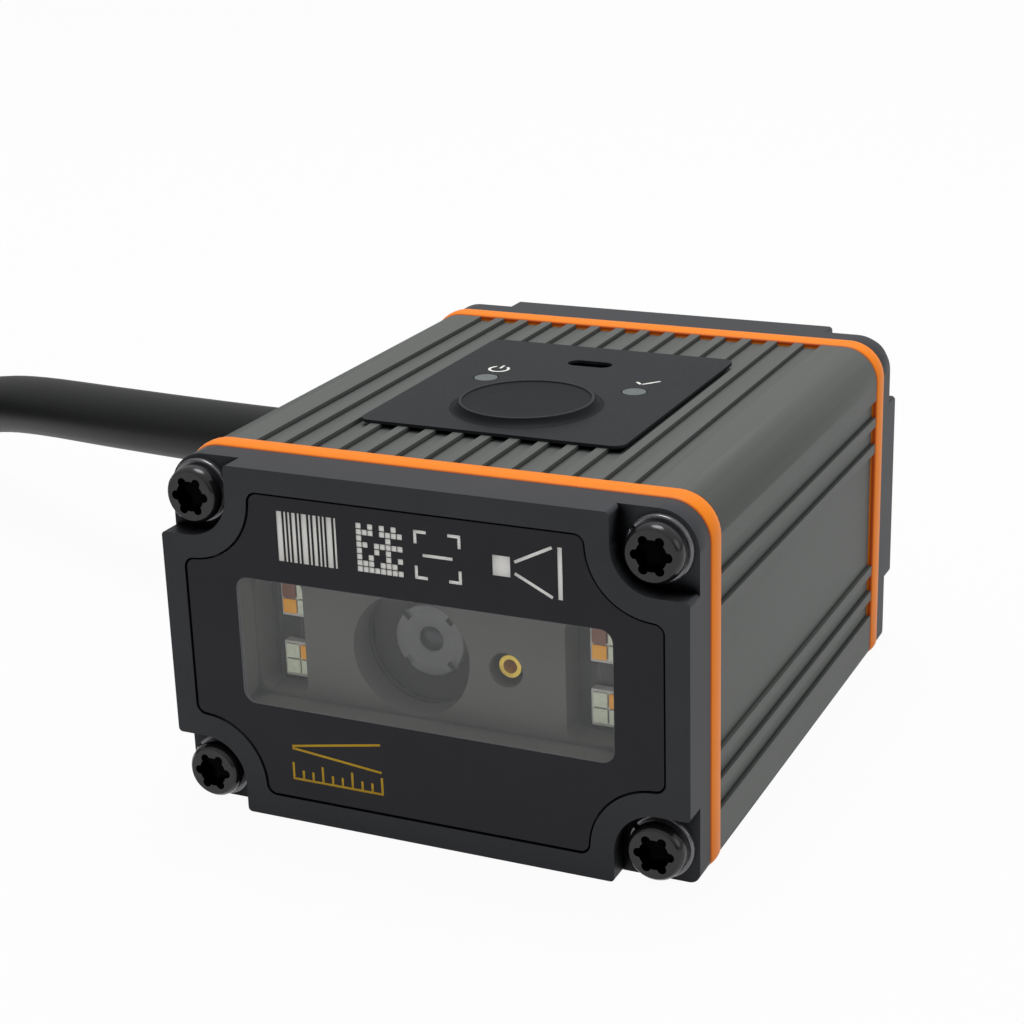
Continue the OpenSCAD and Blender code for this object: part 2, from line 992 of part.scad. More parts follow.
module capacitors() {
    can_r = 2.5;
    can_h = 5.5;
    can_pitch = 6.5;
    can_side = 7;
    can_rear = 6;
    color("#a9adb3")
        for (k = [0, 1])
            translate([board_x - can_side - k * can_pitch, board_y + board_l - can_rear, decoder_face_z])
                cylinder(r = can_r, h = can_h);
}

// Socket on the decoder board where the cable's leads end
header_side = 9.5;
header_x = -board_x + header_side;
header_w = 7.5;
header_d = 5;
header_h = 6;
module cable_header() {
    color("#e6e2d6")
        translate([header_x - header_w / 2, relief_y - header_d / 2, decoder_face_z])
            cube([header_w, header_d, header_h]);
}

module cable_leads() {
    lead_r = 0.5;
    lead_gap = 1.2;
    lead_count = 4;
    start_x = -cavity_x + relief_inner_t;
    end_x = header_x - header_w / 2;
    end_z = decoder_face_z + header_h / 2;
    color("#b33a32")
        for (k = [0 : lead_count - 1]) {
            y = relief_y + (k - (lead_count - 1) / 2) * lead_gap;
            route_tube([
                [start_x, y, relief_z],
                [start_x + lead_r, y, relief_z],
                [end_x - lead_r, y, end_z],
                [end_x, y, end_z]
            ], lead_r, 8);
        }
}

// Flexible strip between the rear edges of the two long boards
module link_flex() {
    strip_w = 10;
    strip_t = 0.2;
    color("#c98a2b")
        translate([-strip_w / 2, board_y + board_l, decoder_z])
            cube([strip_w, strip_t, key_face_z - decoder_z]);
}

module key_board() {
    color("#1d3b2c")
        translate([-board_x, board_y, key_board_z])
            cube([2 * board_x, board_l, board_t]);
}

module trigger_switch() {
    body_w = 6;
    color("#2a2b2e")
        difference() {
            translate([-body_w / 2, key_y - body_w / 2, key_face_z])
                cube([body_w, body_w, switch_h]);
            translate([0, key_y, plunger_root_z - key_travel - 0.2])
                cylinder(r = plunger_r + key_play, h = switch_h);
        }
}

module switch_plunger() {
    color("#d9d6cc")
        translate([0, key_y, plunger_root_z])
            cylinder(r = plunger_r, h = skin_z - plunger_root_z);
}

module trigger_key() {
    rim_z = overlay_top_z + key_rise;
    steps = 8;
    skirt = [
        for (i = [0 : steps])
            let (t = i / steps, ease = t * t * (3 - 2 * t))
            [
                key_base_r + (key_rim_r - key_base_r) * t,
                overlay_top_z - 0.05 + (key_rise - 0.05) * ease
            ]
    ];
    dish = [
        for (i = [0 : steps])
            let (t = i / steps)
            [(key_rim_r - 0.35) * (1 - t), rim_z - key_dish * (1 - cos(180 * min(1, 2 * t))) / 2]
    ];
    color("#3c3f43")
        translate([0, key_y, 0])
            rotate_extrude()
                polygon(concat([[0, skin_z], [key_base_r, skin_z]], skirt, dish));
}

module overlay() {
    color("#3c3f43")
        translate([0, 0, skin_z])
            linear_extrude(overlay_t)
                difference() {
                    translate([0, overlay_y])
                        round_rect(overlay_w, overlay_l, overlay_r);
                    translate([0, key_y])
                        circle(key_base_r + key_play);
                    for (side = [-1, 1])
                        translate([side * status_dx / 2, status_y])
                            circle(status_r + key_play);
                    slot_outline();
                }
}

module light_pipes() {
    color("#75827f", 0.6)
        for (side = [-1, 1])
            translate([side * status_dx / 2, status_y, pipe_base_z])
                cylinder(r = status_r, h = overlay_top_z - pipe_base_z);
}

module status_leds() {
    color("#dfe8d0")
        for (side = [-1, 1])
            translate([side * status_dx / 2, status_y, key_face_z])
                translate([-0.8, -0.4, 0])
                    cube([1.6, 0.8, 0.7]);
}

module buzzer() {
    buzzer_r = 4.5;
    buzzer_h = 3;
    vent_r = 0.8;
    color("#1b1b1d")
        translate([0, slot_y, key_face_z])
            difference() {
                cylinder(r = buzzer_r, h = buzzer_h);
                translate([0, 0, buzzer_h - 1])
                    cylinder(r = vent_r, h = 2);
            }
}

// Rubber boot that grips the wall between two collars and tapers towards the cable
module strain_relief() {
    color("#232323")
        translate([-cavity_x, relief_y, relief_z])
            rotate([0, -90, 0])
                rotate_extrude()
                    polygon([
                        [0, -relief_inner_t], [collar_r, -relief_inner_t], [collar_r, 0],
                        [neck_r, 0], [neck_r, wall_t], [collar_r, wall_t],
                        [collar_r, wall_t + relief_flange_t - 0.4],
                        [collar_r - 0.4, wall_t + relief_flange_t],
                        [neck_r, wall_t + relief_flange_t + 0.4],
                        [relief_tip_r, reader_w / 2 - cavity_x + relief_l],
                        [0, reader_w / 2 - cavity_x + relief_l]
                    ]);
}

// The direction of a route at its point i
function heading(route, i) =
    let (
        a = route[max(i - 1, 0)],
        b = route[min(i + 1, len(route) - 1)]
    )
    (b - a) / norm(b - a);

// A ring of points about point i of a route, in the plane across its heading
function route_ring(route, i, r, sides) =
    let (
        t = heading(route, i),
        across = cross(t, [0, 0, 1]),
        u = across / norm(across),
        v = cross(u, t)
    )
    [for (k = [0 : sides - 1]) route[i] + r * (cos(360 * k / sides) * u + sin(360 * k / sides) * v)];

// A plain round tube along a route
module route_tube(route, r, sides) {
    rings = len(route);
    points = [for (i = [0 : rings - 1]) each route_ring(route, i, r, sides)];
    walls = [
        for (i = [0 : rings - 2])
            for (k = [0 : sides - 1])
                let (next = (k + 1) % sides)
                [i * sides + k, i * sides + next, (i + 1) * sides + next, (i + 1) * sides + k]
    ];
    first = [for (k = [sides - 1 : -1 : 0]) k];
    last = [for (k = [0 : sides - 1]) (rings - 1) * sides + k];
    polyhedron(points, concat(walls, [first, last]), convexity = 4);
}

module cable() {
    color("#2b2c2c")
        route_tube(route_out, cable_d / 2, cable_sides);
}

module cable_tail() {
    color("#2b2c2c")
        route_tube(route_tail, cable_d / 2, cable_sides);
}

module cable_coil() {
    color("#2b2c2c")
        translate([coil_centre[0], coil_centre[1], coil_z])
            rotate_extrude($fn = 96)
                translate([coil_mid_r, coil_h / 2])
                    round_rect(coil_w, coil_h, cable_d / 2);
}

// Strap around the coil's turns, on the side of -Y
module cable_tie() {
    room_w = coil_w + 2 * tie_play;
    room_h = coil_h + tie_play;
    color("#1a1a1a")
        translate([coil_centre[0] - tie_w / 2, coil_centre[1] - coil_mid_r, coil_z + room_h / 2])
            rotate([90, 0, 90])
                linear_extrude(tie_w)
                    difference() {
                        round_rect(room_w + 2 * tie_t, room_h + 2 * tie_t, 2 * tie_t);
                        round_rect(room_w, room_h, tie_t);
                    }
}

// The children on the plug's axis, with +Z out of the end of the cable
module at_plug() {
    translate(route_tail[len(route_tail) - 1])
        rotate([90, 0, 90])
            children();
}

module plug_body() {
    color("#232323")
        at_plug() {
            cylinder(r1 = cable_d / 2 + 0.1, r2 = plug_neck_r, h = plug_neck_l);
            translate([0, 0, plug_neck_l - over])
                linear_extrude(plug_l)
                    round_rect(plug_w, plug_h, plug_r);
        }
}

module plug_shell() {
    color("#c4c7ca")
        at_plug()
            translate([0, 0, plug_neck_l + plug_l - over])
                linear_extrude(shell_l)
                    difference() {
                        square([shell_w, shell_h], center = true);
                        square([shell_w - 2 * shell_wall, shell_h - 2 * shell_wall], center = true);
                    }
}

module plug_tongue() {
    color("#e8e6df")
        at_plug()
            translate([0, shell_h / 2 - shell_wall - tongue_h / 2, plug_neck_l + plug_l - over])
                linear_extrude(shell_l - 0.8)
                    square([shell_w - 2 * shell_wall, tongue_h], center = true);
}

housing_extrusion();
front_bezel();
rear_cover();
front_gasket();
rear_gasket();
front_screws();
front_washers();
rear_screws();
rear_washers();
window_pane();
window_mask();
light_shroud();
illumination_board();
light_packages();
amber_dies();
brown_dies();
pale_dies();
lens_holder();
lens_barrel();
lens();
image_sensor();
sensor_board();
optics_screws();
aimer_tube();
aimer_emitter();
sensor_flex();
decoder_board();
decoder_chips();
capacitors();
cable_header();
cable_leads();
link_flex();
key_board();
trigger_switch();
switch_plunger();
trigger_key();
overlay();
light_pipes();
status_leds();
buzzer();
strain_relief();
cable();
cable_coil();
cable_tie();
cable_tail();
plug_body();
plug_shell();
plug_tongue();
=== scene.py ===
"""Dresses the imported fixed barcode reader: cable, rubber boot, plug, key cap, printed signs and every finish.

Lengths that a user changes are in metres. Shapes are worked out in millimetres and scaled when a mesh is made.
"""

import json
from math import radians

import bmesh
import bpy
import numpy as np
from mathutils import Matrix, Vector


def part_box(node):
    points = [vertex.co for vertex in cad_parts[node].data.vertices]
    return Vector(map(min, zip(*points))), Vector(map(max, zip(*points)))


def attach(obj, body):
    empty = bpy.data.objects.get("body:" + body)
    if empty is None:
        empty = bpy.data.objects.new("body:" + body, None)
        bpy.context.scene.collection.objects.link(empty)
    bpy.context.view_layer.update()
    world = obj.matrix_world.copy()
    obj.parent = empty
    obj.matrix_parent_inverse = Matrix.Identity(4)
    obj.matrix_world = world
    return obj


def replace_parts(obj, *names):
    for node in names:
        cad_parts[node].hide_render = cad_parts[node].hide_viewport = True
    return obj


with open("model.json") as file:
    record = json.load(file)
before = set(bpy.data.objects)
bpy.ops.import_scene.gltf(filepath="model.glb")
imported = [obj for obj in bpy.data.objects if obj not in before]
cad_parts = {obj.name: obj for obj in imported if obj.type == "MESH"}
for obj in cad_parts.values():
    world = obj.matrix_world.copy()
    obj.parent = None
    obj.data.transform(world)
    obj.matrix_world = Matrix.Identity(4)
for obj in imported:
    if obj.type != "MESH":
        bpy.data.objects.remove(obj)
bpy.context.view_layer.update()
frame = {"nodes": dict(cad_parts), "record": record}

bl_info = {
    "name": "Fixed barcode reader",
    "version": (1, 0, 0),
    "blender": (4, 5, 0),
    "location": "View3D > Sidebar > Reader",
    "description": "Builds the looks of a fixed barcode reader round its packed solids",
    "category": "Object",
}

MM = 0.001
# The mask's window, and the panel's print round it: its gap, and more of it on the left and below.
WINDOW_W, WINDOW_H, WINDOW_R = 36.2, 12.5, 1.2
PRINT_GAP, PRINT_LEFT, PRINT_LOW = 0.15, 0.6, 0.75
# Corners of the caps' outline; a bead's edges lie BEAD_SINK inside it and its back BEAD_DEEP.
TOP_CORNER_R, BASE_CORNER_R = 3.5, 1.0
BEAD_SINK, BEAD_DEEP = 0.15, 1.6
# The painted shade's depth under the film, and its distance from the film's edge.
FILM_SHADE_DEEP, FILM_SHADE_MARGIN = 1.0, 0.4
# In metres: points this close are one point, and edges this short are none.
SAME_POINT, NO_EDGE = 1e-6, 1e-7
NODES = frame["nodes"]
SLOT_OF = {part["node"]: part["material_slot"] for part in frame["record"]["subparts"]}
COLOUR_OF = {row["slot"]: tuple(row["base_color"]) for row in frame["record"]["materials"]}


def node_box(name):
    """Lowest and highest corner of a CAD node, in millimetres."""
    low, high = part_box(name)
    return np.array(low) / MM, np.array(high) / MM


# ---------------------------------------------------------------- settings

def colour_setting(name, description, slot):
    """Colour that starts as the record's colour of a slot."""
    return bpy.props.FloatVectorProperty(
        name=name, description=description, default=COLOUR_OF[slot], size=3, min=0, max=1, subtype="COLOR")


def length_setting(name, description, millimetres):
    """Length in metres that starts as that many millimetres."""
    return bpy.props.FloatProperty(
        name=name, description=description, default=millimetres * MM, min=0, unit="LENGTH", precision=5)


class ReaderColours(bpy.types.PropertyGroup):
    """Colours of the finishes that show most."""

    tube: colour_setting("Tube", "Anodised aluminium of the ribbed tube", "anodised_tube")
    cap: colour_setting("Caps", "Satin black of the two end caps", "black_cap")
    gasket: colour_setting("Gaskets", "Silicone between the caps and the tube", "orange_gasket")
    film: colour_setting("Film", "Film on the top and its key", "grey_overlay")
    shroud: colour_setting("Shroud", "Tray and face plate behind the window", "grey_shroud")
    jacket: colour_setting("Jacket", "Jacket of the cable, its boot and its plug", "black_cable")


class ReaderSizes(bpy.types.PropertyGroup):
    """Sizes of what this script adds."""

    cap_edge: length_setting("Cap edge", "Rounding of the edges of the caps", 0.22)
    tube_edge: length_setting("Tube edge", "Rounding of the edges of the tube's ribs", 0.08)
    bead_proud: length_setting("Bead", "How far the gaskets bulge out of the caps' outline", 0.25)
    small_edge: length_setting("Small edge", "Rounding of the small pieces' edges", 0.06)
    cable_d: length_setting("Cable", "Diameter of the cable", 7.4)
    turn_pitch: length_setting("Turn pitch", "Distance between neighbouring turns of the coil", 7.6)
    sign_t: length_setting("Sign", "Thickness of a printed sign", 0.02)


class ReaderStage(bpy.types.PropertyGroup):
    """Light and floor."""

    key_power: bpy.props.FloatProperty(
        name="Key lamp", description="Power of the large lamp above", default=3.4, min=0, unit="POWER")
    fill_power: bpy.props.FloatProperty(
        name="Fill lamp", description="Power of the lamp at the front right", default=0.5, min=0, unit="POWER")
    sky: bpy.props.FloatProperty(
        name="Sky", description="Strength of the even light from all round", default=0.5, min=0)
    floor_white: bpy.props.FloatProperty(
        name="Floor white", description="Share of plain white in the floor as seen", default=0.95,
        min=0, max=1, subtype="FACTOR")
    lens: bpy.props.FloatProperty(
        name="Focal length", description="Focal length of the camera on a 36 mm sensor", default=75.273,
        min=1, unit="CAMERA")


def colours():
    return bpy.context.scene.reader_colours


def sizes():
    return bpy.context.scene.reader_sizes


def stage_settings():
    return bpy.context.scene.reader_stage


# ---------------------------------------------------------------- materials

class Value:
    """A socket's value in a material; arithmetic on it adds Math nodes."""

    def __init__(self, paint, socket):
        self.paint = paint
        self.socket = socket

    def _math(self, operation, *terms):
        return self.paint.node("ShaderNodeMath", {"operation": operation}, dict(enumerate(terms)))

    def __add__(self, other):
        return self._math("ADD", self, other)

    __radd__ = __add__

    def __sub__(self, other):
        return self._math("SUBTRACT", self, other)

    def __rsub__(self, other):
        return self._math("SUBTRACT", other, self)

    def __mul__(self, other):
        return self._math("MULTIPLY", self, other)

    __rmul__ = __mul__

    def __truediv__(self, other):
        return self._math("DIVIDE", self, other)

    def __rtruediv__(self, other):
        return self._math("DIVIDE", other, self)

    def __pow__(self, other):
        return self._math("POWER", self, other)

    def at_least(self, other):
        return self._math("MAXIMUM", self, other)

    def at_most(self, other):
        return self._math("MINIMUM", self, other)

    def size(self):
        return self._math("ABSOLUTE", self)

    def sine(self):
        return self._math("SINE", self)

    def above(self, edge, blur=0.0001):
        """0 below the edge and 1 above it, with a soft step of that half width."""
        return self.paint.node("ShaderNodeMapRange", {"interpolation_type": "SMOOTHSTEP"},
                               {"Value": self, "From Min": edge - blur, "From Max": edge + blur})


class Paint:
    """A material under construction, with one method for any node."""

    def __init__(self, name):
        self.material = bpy.data.materials.new(name)
        self.material.use_nodes = True
        self.tree = self.material.node_tree
        self.tree.nodes.clear()

    def node(self, kind, settings=None, inputs=None, output=0):
        """Adds a node, first with its settings, then with the values or links of its sockets."""
        made = self.tree.nodes.new(kind)
        for key, value in (settings or {}).items():
            setattr(made, key, value)
        for key, value in (inputs or {}).items():
            if isinstance(value, Value):
                self.tree.links.new(value.socket, made.inputs[key])
            else:
                made.inputs[key].default_value = value
        return Value(self, made.outputs[output])

    def place(self, stretch=(1, 1, 1)):
        """Object coordinates in metres, scaled along each axis."""
        xyz = self.node("ShaderNodeTexCoord", output="Object")
        if stretch == (1, 1, 1):
            return xyz
        return self.node("ShaderNodeMapping", {"vector_type": "POINT"}, {"Vector": xyz, "Scale": stretch})

    def split(self, vector, axes="XYZ"):
        """Parts of a vector along the named axes."""
        return [self.node("ShaderNodeSeparateXYZ", None, {0: vector}, axis) for axis in axes]

    def noise(self, size, detail=2, stretch=(1, 1, 1)):
        """Even noise whose blotches are about that many millimetres across."""
        return self.node("ShaderNodeTexNoise", {"noise_dimensions": "3D"},
                         {"Vector": self.place(stretch), "Scale": 1 / (size * MM), "Detail": detail})

    def blend(self, share, first, second):
        """Mix of two colours."""
        return self.node("ShaderNodeMix", {"data_type": "RGBA"}, {0: share, 6: first, 7: second}, 2)

    def tones(self, share, colour, dark, light):
        """Mix of a colour times dark and the same colour times light."""
        return self.blend(share, shade(colour, dark), shade(colour, light))

    def bump(self, height, depth, strength=1.0):
        """Normal of a relief that many millimetres deep."""
        return self.node("ShaderNodeBump", None,
                         {"Strength": strength, "Distance": depth * MM, "Height": height})

    def crevice(self, reach, samples=8, only_local=True):
        """1 on open faces, falling towards 0 in corners closer than that many millimetres to a wall."""
        return self.node("ShaderNodeAmbientOcclusion", {"samples": samples, "only_local": only_local},
                         {"Distance": reach * MM}, "AO")

    def finish(self, **sockets):
        """Principled surface; keys are socket names with underscores for blanks."""
        inputs = {key.replace("_", " "): value for key, value in sockets.items()}
        surface = self.node("ShaderNodeBsdfPrincipled", None, inputs)
        return self.output(surface)

    def output(self, surface):
        """The material, with that shader as its surface."""
        end = self.tree.nodes.new("ShaderNodeOutputMaterial")
        self.tree.links.new(surface.socket, end.inputs["Surface"])
        return self.material


def shade(colour, factor):
    """Colour with alpha, lighter or darker by a factor."""
    return tuple(min(1.0, c * factor) for c in colour) + (1.0,)


def anodised(name, colour):
    """Bead-blasted, anodised aluminium with faint die lines along the extrusion (Y). Under the film, where
    (|x| - half width + margin) and the same for y are below 0, the ribs are painted black as the film's shade."""
    p = Paint(name)
    low, high = node_box("overlay")
    x, y, z = p.split(p.place())
    # Painted shade: the ribs under the film are painted black, standing in for the film's shadow.
    film_shade = z.above((low[2] - FILM_SHADE_DEEP) * MM)
    for value, least, most in zip((x, y), low, high):
        past = (value - (least + most) / 2 * MM).size() - ((most - least) / 2 - FILM_SHADE_MARGIN) * MM
        film_shade = film_shade * (1 - past.above(0.0))
    lines = p.noise(0.5, 3, (1, 0.015, 1))
    blast = p.noise(0.16, 2)
    cloud = p.noise(14, 2)
    tone = lines * 0.35 + cloud * 0.15 + blast * 0.25 + 0.12
    clean = p.tones(tone, colour, 0.78, 1.22)
    # Painted shade: where the occlusion within 0.4 mm falls below about 0.6, at the ribs' feet, the tube is
    # painted nearly black.
    return p.finish(
        Base_Color=p.blend(film_shade, p.blend(p.crevice(0.4).above(0.6, 0.3), shade(colour, 0.1), clean),
                           shade(colour, 0.02)),
        Roughness=0.44 + blast * 0.12 + cloud * 0.06, Metallic=0.1, Specular_IOR_Level=0.18,
        Normal=p.bump(blast * 0.7 + lines * 0.3, 0.012, 0.5))


def coated(name, colour, grain=0.3, depth=0.012, rough=0.42, specular=0.2, spread=0.16, hollow=(0, 0, 1),
           alone=True):
    """Satin coat on cast metal or moulded plastic: fine orange-peel grain and soft patches of gloss. hollow
    holds the reach of a pocket in millimetres, its openness below which it is painted dark as shade and made
    metallic so that it reflects little, and its share of the colour; where alone is off, other pieces close a
    pocket too."""
    p = Paint(name)
    peel = p.noise(grain, 3)
    patch = p.noise(7, 3)
    reach, edge, share = hollow
    clean = p.tones(peel * 0.4 + patch * 0.6, colour, 0.8, 1.25)
    painted_shade = 0.0
    # Painted shade: pockets are painted dark and made metallic, so that they reflect almost nothing.
    if reach:
        painted_shade = 1 - p.crevice(reach, 12, alone).above(edge, 0.2)
        clean = p.blend(painted_shade, clean, shade(colour, share))
    return p.finish(
        Base_Color=clean, Metallic=painted_shade,
        Roughness=rough - spread / 2 + patch * spread * 0.6 + peel * spread * 0.4,
        Specular_IOR_Level=specular, Normal=p.bump(peel, depth, 0.6))


def silicone(name, colour):
    """Smooth silicone rubber: faint cloudy tint and fine dust, and painted shade, darker and redder, where U
    nears a bead's edges against the caps and the tube."""
    p = Paint(name)
    cloud = p.noise(5, 3)
    dust = p.noise(0.12, 2)
    pale = (colour[0] * 1.05, colour[1] * 1.15, colour[2] * 0.7)
    clean = p.blend(cloud * 0.7 + dust * 0.3, shade(colour, 1.0), shade(pale, 1.0))
    across, = p.split(p.node("ShaderNodeTexCoord", output="UV"), "X")
    # Painted shade: the bead's edges are painted darker and redder, standing in for contact shadows.
    contact_shade = (across * 2 - 1).size().above(0.88, 0.11)
    return p.finish(
        Base_Color=p.blend(contact_shade, clean, (colour[0] * 0.5, colour[1] * 0.25, colour[2] * 0.2, 1)),
        Roughness=0.36 + dust * 0.16, Specular_IOR_Level=0.15,
        Normal=p.bump(dust * 0.5 + cloud * 0.5, 0.02, 0.4))


def black_oxide(name, colour):
    """Oil-blackened steel: glossy, with turning marks and a little worn sheen, and painted black and metallic
    in the recess as shade, so that it reflects little there.
    """
    p = Paint(name)
    mark = p.noise(0.25, 3)
    wear = p.noise(1.6, 4)
    # Painted shade: the recess is painted black and made metallic, so that it reflects almost nothing.
    painted_shade = 1 - p.crevice(2.2, 16).above(0.88, 0.08)
    worn = p.tones(wear, colour, 0.4, 1.5)
    return p.finish(
        Base_Color=p.blend(painted_shade, worn, (0.001, 0.001, 0.001, 1)),
        Roughness=0.1 + mark * 0.1 + wear * 0.1, Metallic=0.3 + painted_shade * 0.7, Specular_IOR_Level=0.6,
        Normal=p.bump(mark, 0.008, 0.5))


def printed_panel(name, colour):
    """Clear panel printed black on its front up to PRINT_GAP outside the window, and further in by PRINT_LEFT
    and PRINT_LOW on the left and below. With q = max(|x| - half width + r, 0) from the clear part's middle, and
    the same for z, a point is printed where the length of (qx, qz) is over the corner radius r. The clear part
    has a thin grey haze, a painted reflection of the pale surroundings, with wipe streaks. The panel's back
    lets everything through."""
    p = Paint(name)
    low, high = node_box("window_pane")
    x, y, z = p.split(p.place())
    front = 1 - y.above((low[1] + high[1]) / 2 * MM)

    def outside(value, half):
        return (value.size() - (half + PRINT_GAP - WINDOW_R) * MM).at_least(0.0)

    qx = outside(x - PRINT_LEFT / 2 * MM, (WINDOW_W - PRINT_LEFT) / 2)
    qz = outside(z - (low[2] + high[2] + PRINT_LOW) / 2 * MM, (WINDOW_H - PRINT_LOW) / 2)
    printed = (((qx * qx + qz * qz) ** 0.5) / (WINDOW_R * MM)).above(1.0, 0.03)
    streak = p.noise(2.2, 3, (0.25, 1, 1))
    grain = p.noise(0.12, 2)
    cloud = p.noise(6, 2)
    black = COLOUR_OF["black_mask"]
    print_colour = p.tones(grain * 0.4 + cloud * 0.6, black, 0.9, 1.35)
    # Painted reflection: the grey haze on the clear part stands in for the glass's reflection of its
    # surroundings.
    return p.finish(
        Base_Color=p.blend(printed, shade(colour, 0.62), print_colour),
        Roughness=0.16 + streak * 0.08 + printed * (0.2 + grain * 0.1),
        Alpha=front * (printed + (1 - printed) * (0.175 + streak * 0.05)),
        Specular_IOR_Level=0.13)


def ink(name, colour):
    """Printed ink film: flat, with a faint screen-print grain."""
    p = Paint(name)
    grain = p.noise(0.09, 2)
    cloud = p.noise(4, 2)
    return p.finish(
        Base_Color=p.tones(grain * 0.5 + cloud * 0.5, colour, 0.82, 1.18),
        Roughness=0.5 + grain * 0.2, Specular_IOR_Level=0.2, Normal=p.bump(grain, 0.004, 0.4))


def film(name, colour):
    """Polyester overlay film with a velvet stipple."""
    p = Paint(name)
    stipple = p.node("ShaderNodeTexVoronoi", {"feature": "F1"},
                     {"Vector": p.place(), "Scale": 1 / (0.13 * MM)}, "Distance")
    cloud = p.noise(9, 2)
    return p.finish(
        Base_Color=p.tones(cloud * 0.6 + stipple * 0.4, colour, 0.85, 1.15),
        Roughness=0.45 + stipple * 0.18, Specular_IOR_Level=0.15,
        Normal=p.bump(1 - stipple, 0.006, 0.5))


def key_film_painted_light(name, colour, centre, rim_r):
    """The film over the key, with painted light by the distance from the key's axis: a painted shadow makes it
    darkest on the skirt, a painted highlight palest on the rim, and painted shade a little darker than the film
    in the dish."""
    p = Paint(name)
    x, y = p.split(p.place(), "XY")
    dx, dy = x - centre[0] * MM, y - centre[1] * MM
    radius = ((dx * dx + dy * dy) ** 0.5) / MM
    grain = p.noise(0.13, 2)
    # Painted light: a highlight on the rim, shade in the dish and a shadow on the skirt.
    rim = 1 - ((radius - rim_r).size() / 0.2 + grain * 0.5).above(0.9, 0.3)
    dish = p.tones(p.noise(4, 2), colour, 0.5, 0.68)
    skirt = p.blend(radius.above(rim_r, 0.05), dish, shade(colour, 0.4))
    return p.finish(Base_Color=p.blend(rim, skirt, shade(colour, 2.2)), Roughness=0.5 + grain * 0.15,
                    Specular_IOR_Level=0.12, Normal=p.bump(grain, 0.006, 0.5))


def jacket(name, colour):
    """Extruded cable jacket: satin, with long faint waves and a fine grain."""
    p = Paint(name)
    wave = p.noise(6, 2)
    grain = p.noise(0.3, 3)
    return p.finish(
        Base_Color=p.tones(wave * 0.6 + grain * 0.4, colour, 0.8, 1.2),
        Roughness=0.4 + grain * 0.14, Specular_IOR_Level=0.22,
        Normal=p.bump(grain * 0.6 + wave * 0.4, 0.02, 0.5))


RIB_PITCH, THREAD_PITCH = 0.9, 0.6


def woven(name, colour):
    """Woven strap: warp and weft alternate on the strap's own UV map, in metres."""
    p = Paint(name)
    along, across = p.split(p.node("ShaderNodeTexCoord", output="UV"), "XY")
    ribs = (along * (2 * np.pi / (RIB_PITCH * MM))).sine()
    threads = (across * (2 * np.pi / (THREAD_PITCH * MM))).sine()
    weave = ribs * threads * 0.5 + 0.5
    fuzz = p.noise(0.15, 3)
    return p.finish(
        Base_Color=p.tones(weave * 0.7 + fuzz * 0.3, colour, 0.6, 2.4),
        Roughness=0.75 + fuzz * 0.15, Specular_IOR_Level=0.2, Sheen_Weight=0.2,
        Normal=p.bump(weave * 0.8 + fuzz * 0.2, 0.12, 0.8))


def turned_metal(name, colour, rough=0.24, worn=0.28):
    """Bright turned metal: fine rings in the gloss, and tarnish that takes up to the worn share of the
    colour."""
    p = Paint(name)
    ring = p.noise(0.2, 3, (1, 0.08, 1))
    tarnish = p.noise(1.8, 3)
    return p.finish(
        Base_Color=p.tones(tarnish, colour, 1 - worn, 1 + worn * 0.4),
        Roughness=rough + ring * 0.14, Metallic=0.85 - tarnish * 0.15,
        Normal=p.bump(ring, 0.006, 0.5))


def light_gel_painted_glow(name, colour):
    """Silicone gel over a light's die: cloudy and softly glossy, with a faint painted glow that stands in for
    light in the shroud's shade.
    """
    p = Paint(name)
    grain = p.noise(0.35, 2)
    # Painted glow: the emission lights the gel, though the light is off.
    return p.finish(
        Base_Color=p.tones(grain, colour, 0.75, 1.2),
        Roughness=0.28 + grain * 0.15, Specular_IOR_Level=0.5, Coat_Weight=0.3 * grain,
        Emission_Color=p.tones(grain, colour, 0.8, 1.1), Emission_Strength=0.24,
        Normal=p.bump(grain, 0.02, 0.4))


def coated_lens(name, colour):
    """Coated lens: dark glass whose gloss varies over its face."""
    p = Paint(name)
    ring = p.noise(0.9, 1)
    return p.finish(
        Base_Color=p.tones(ring, colour, 0.08, 0.2),
        Roughness=0.08 + ring * 0.06, Specular_IOR_Level=0.3, Coat_Weight=0.1 + ring * 0.15)


def solder_mask(name, colour):
    """Circuit board: solder mask in the slot's colour, over tracks that run in two directions."""
    p = Paint(name)
    tracks = p.node("ShaderNodeTexBrick", {"offset": 0.5, "squash": 0.5},
                    {"Vector": p.place(), "Color1": (1, 1, 1, 1), "Color2": (0.6, 0.6, 0.6, 1),
                     "Mortar": (0, 0, 0, 1), "Scale": 1 / (9 * MM), "Mortar Size": 0.018}, "Fac")
    grain = p.noise(0.3, 2)
    return p.finish(
        Base_Color=p.tones(tracks * 0.8 + grain * 0.2, colour, 0.9, 1.9),
        Roughness=0.3 + grain * 0.12, Specular_IOR_Level=0.4, Normal=p.bump(tracks, 0.03, 0.6))


def frosted(name, colour):
    """Frosted status window: milky plastic with a dim core."""
    p = Paint(name)
    milk = p.noise(0.6, 2)
    return p.finish(
        Base_Color=p.tones(milk, colour, 0.8, 1.3),
        Roughness=0.25 + milk * 0.12, Specular_IOR_Level=0.5, Normal=p.bump(milk, 0.01, 0.4))


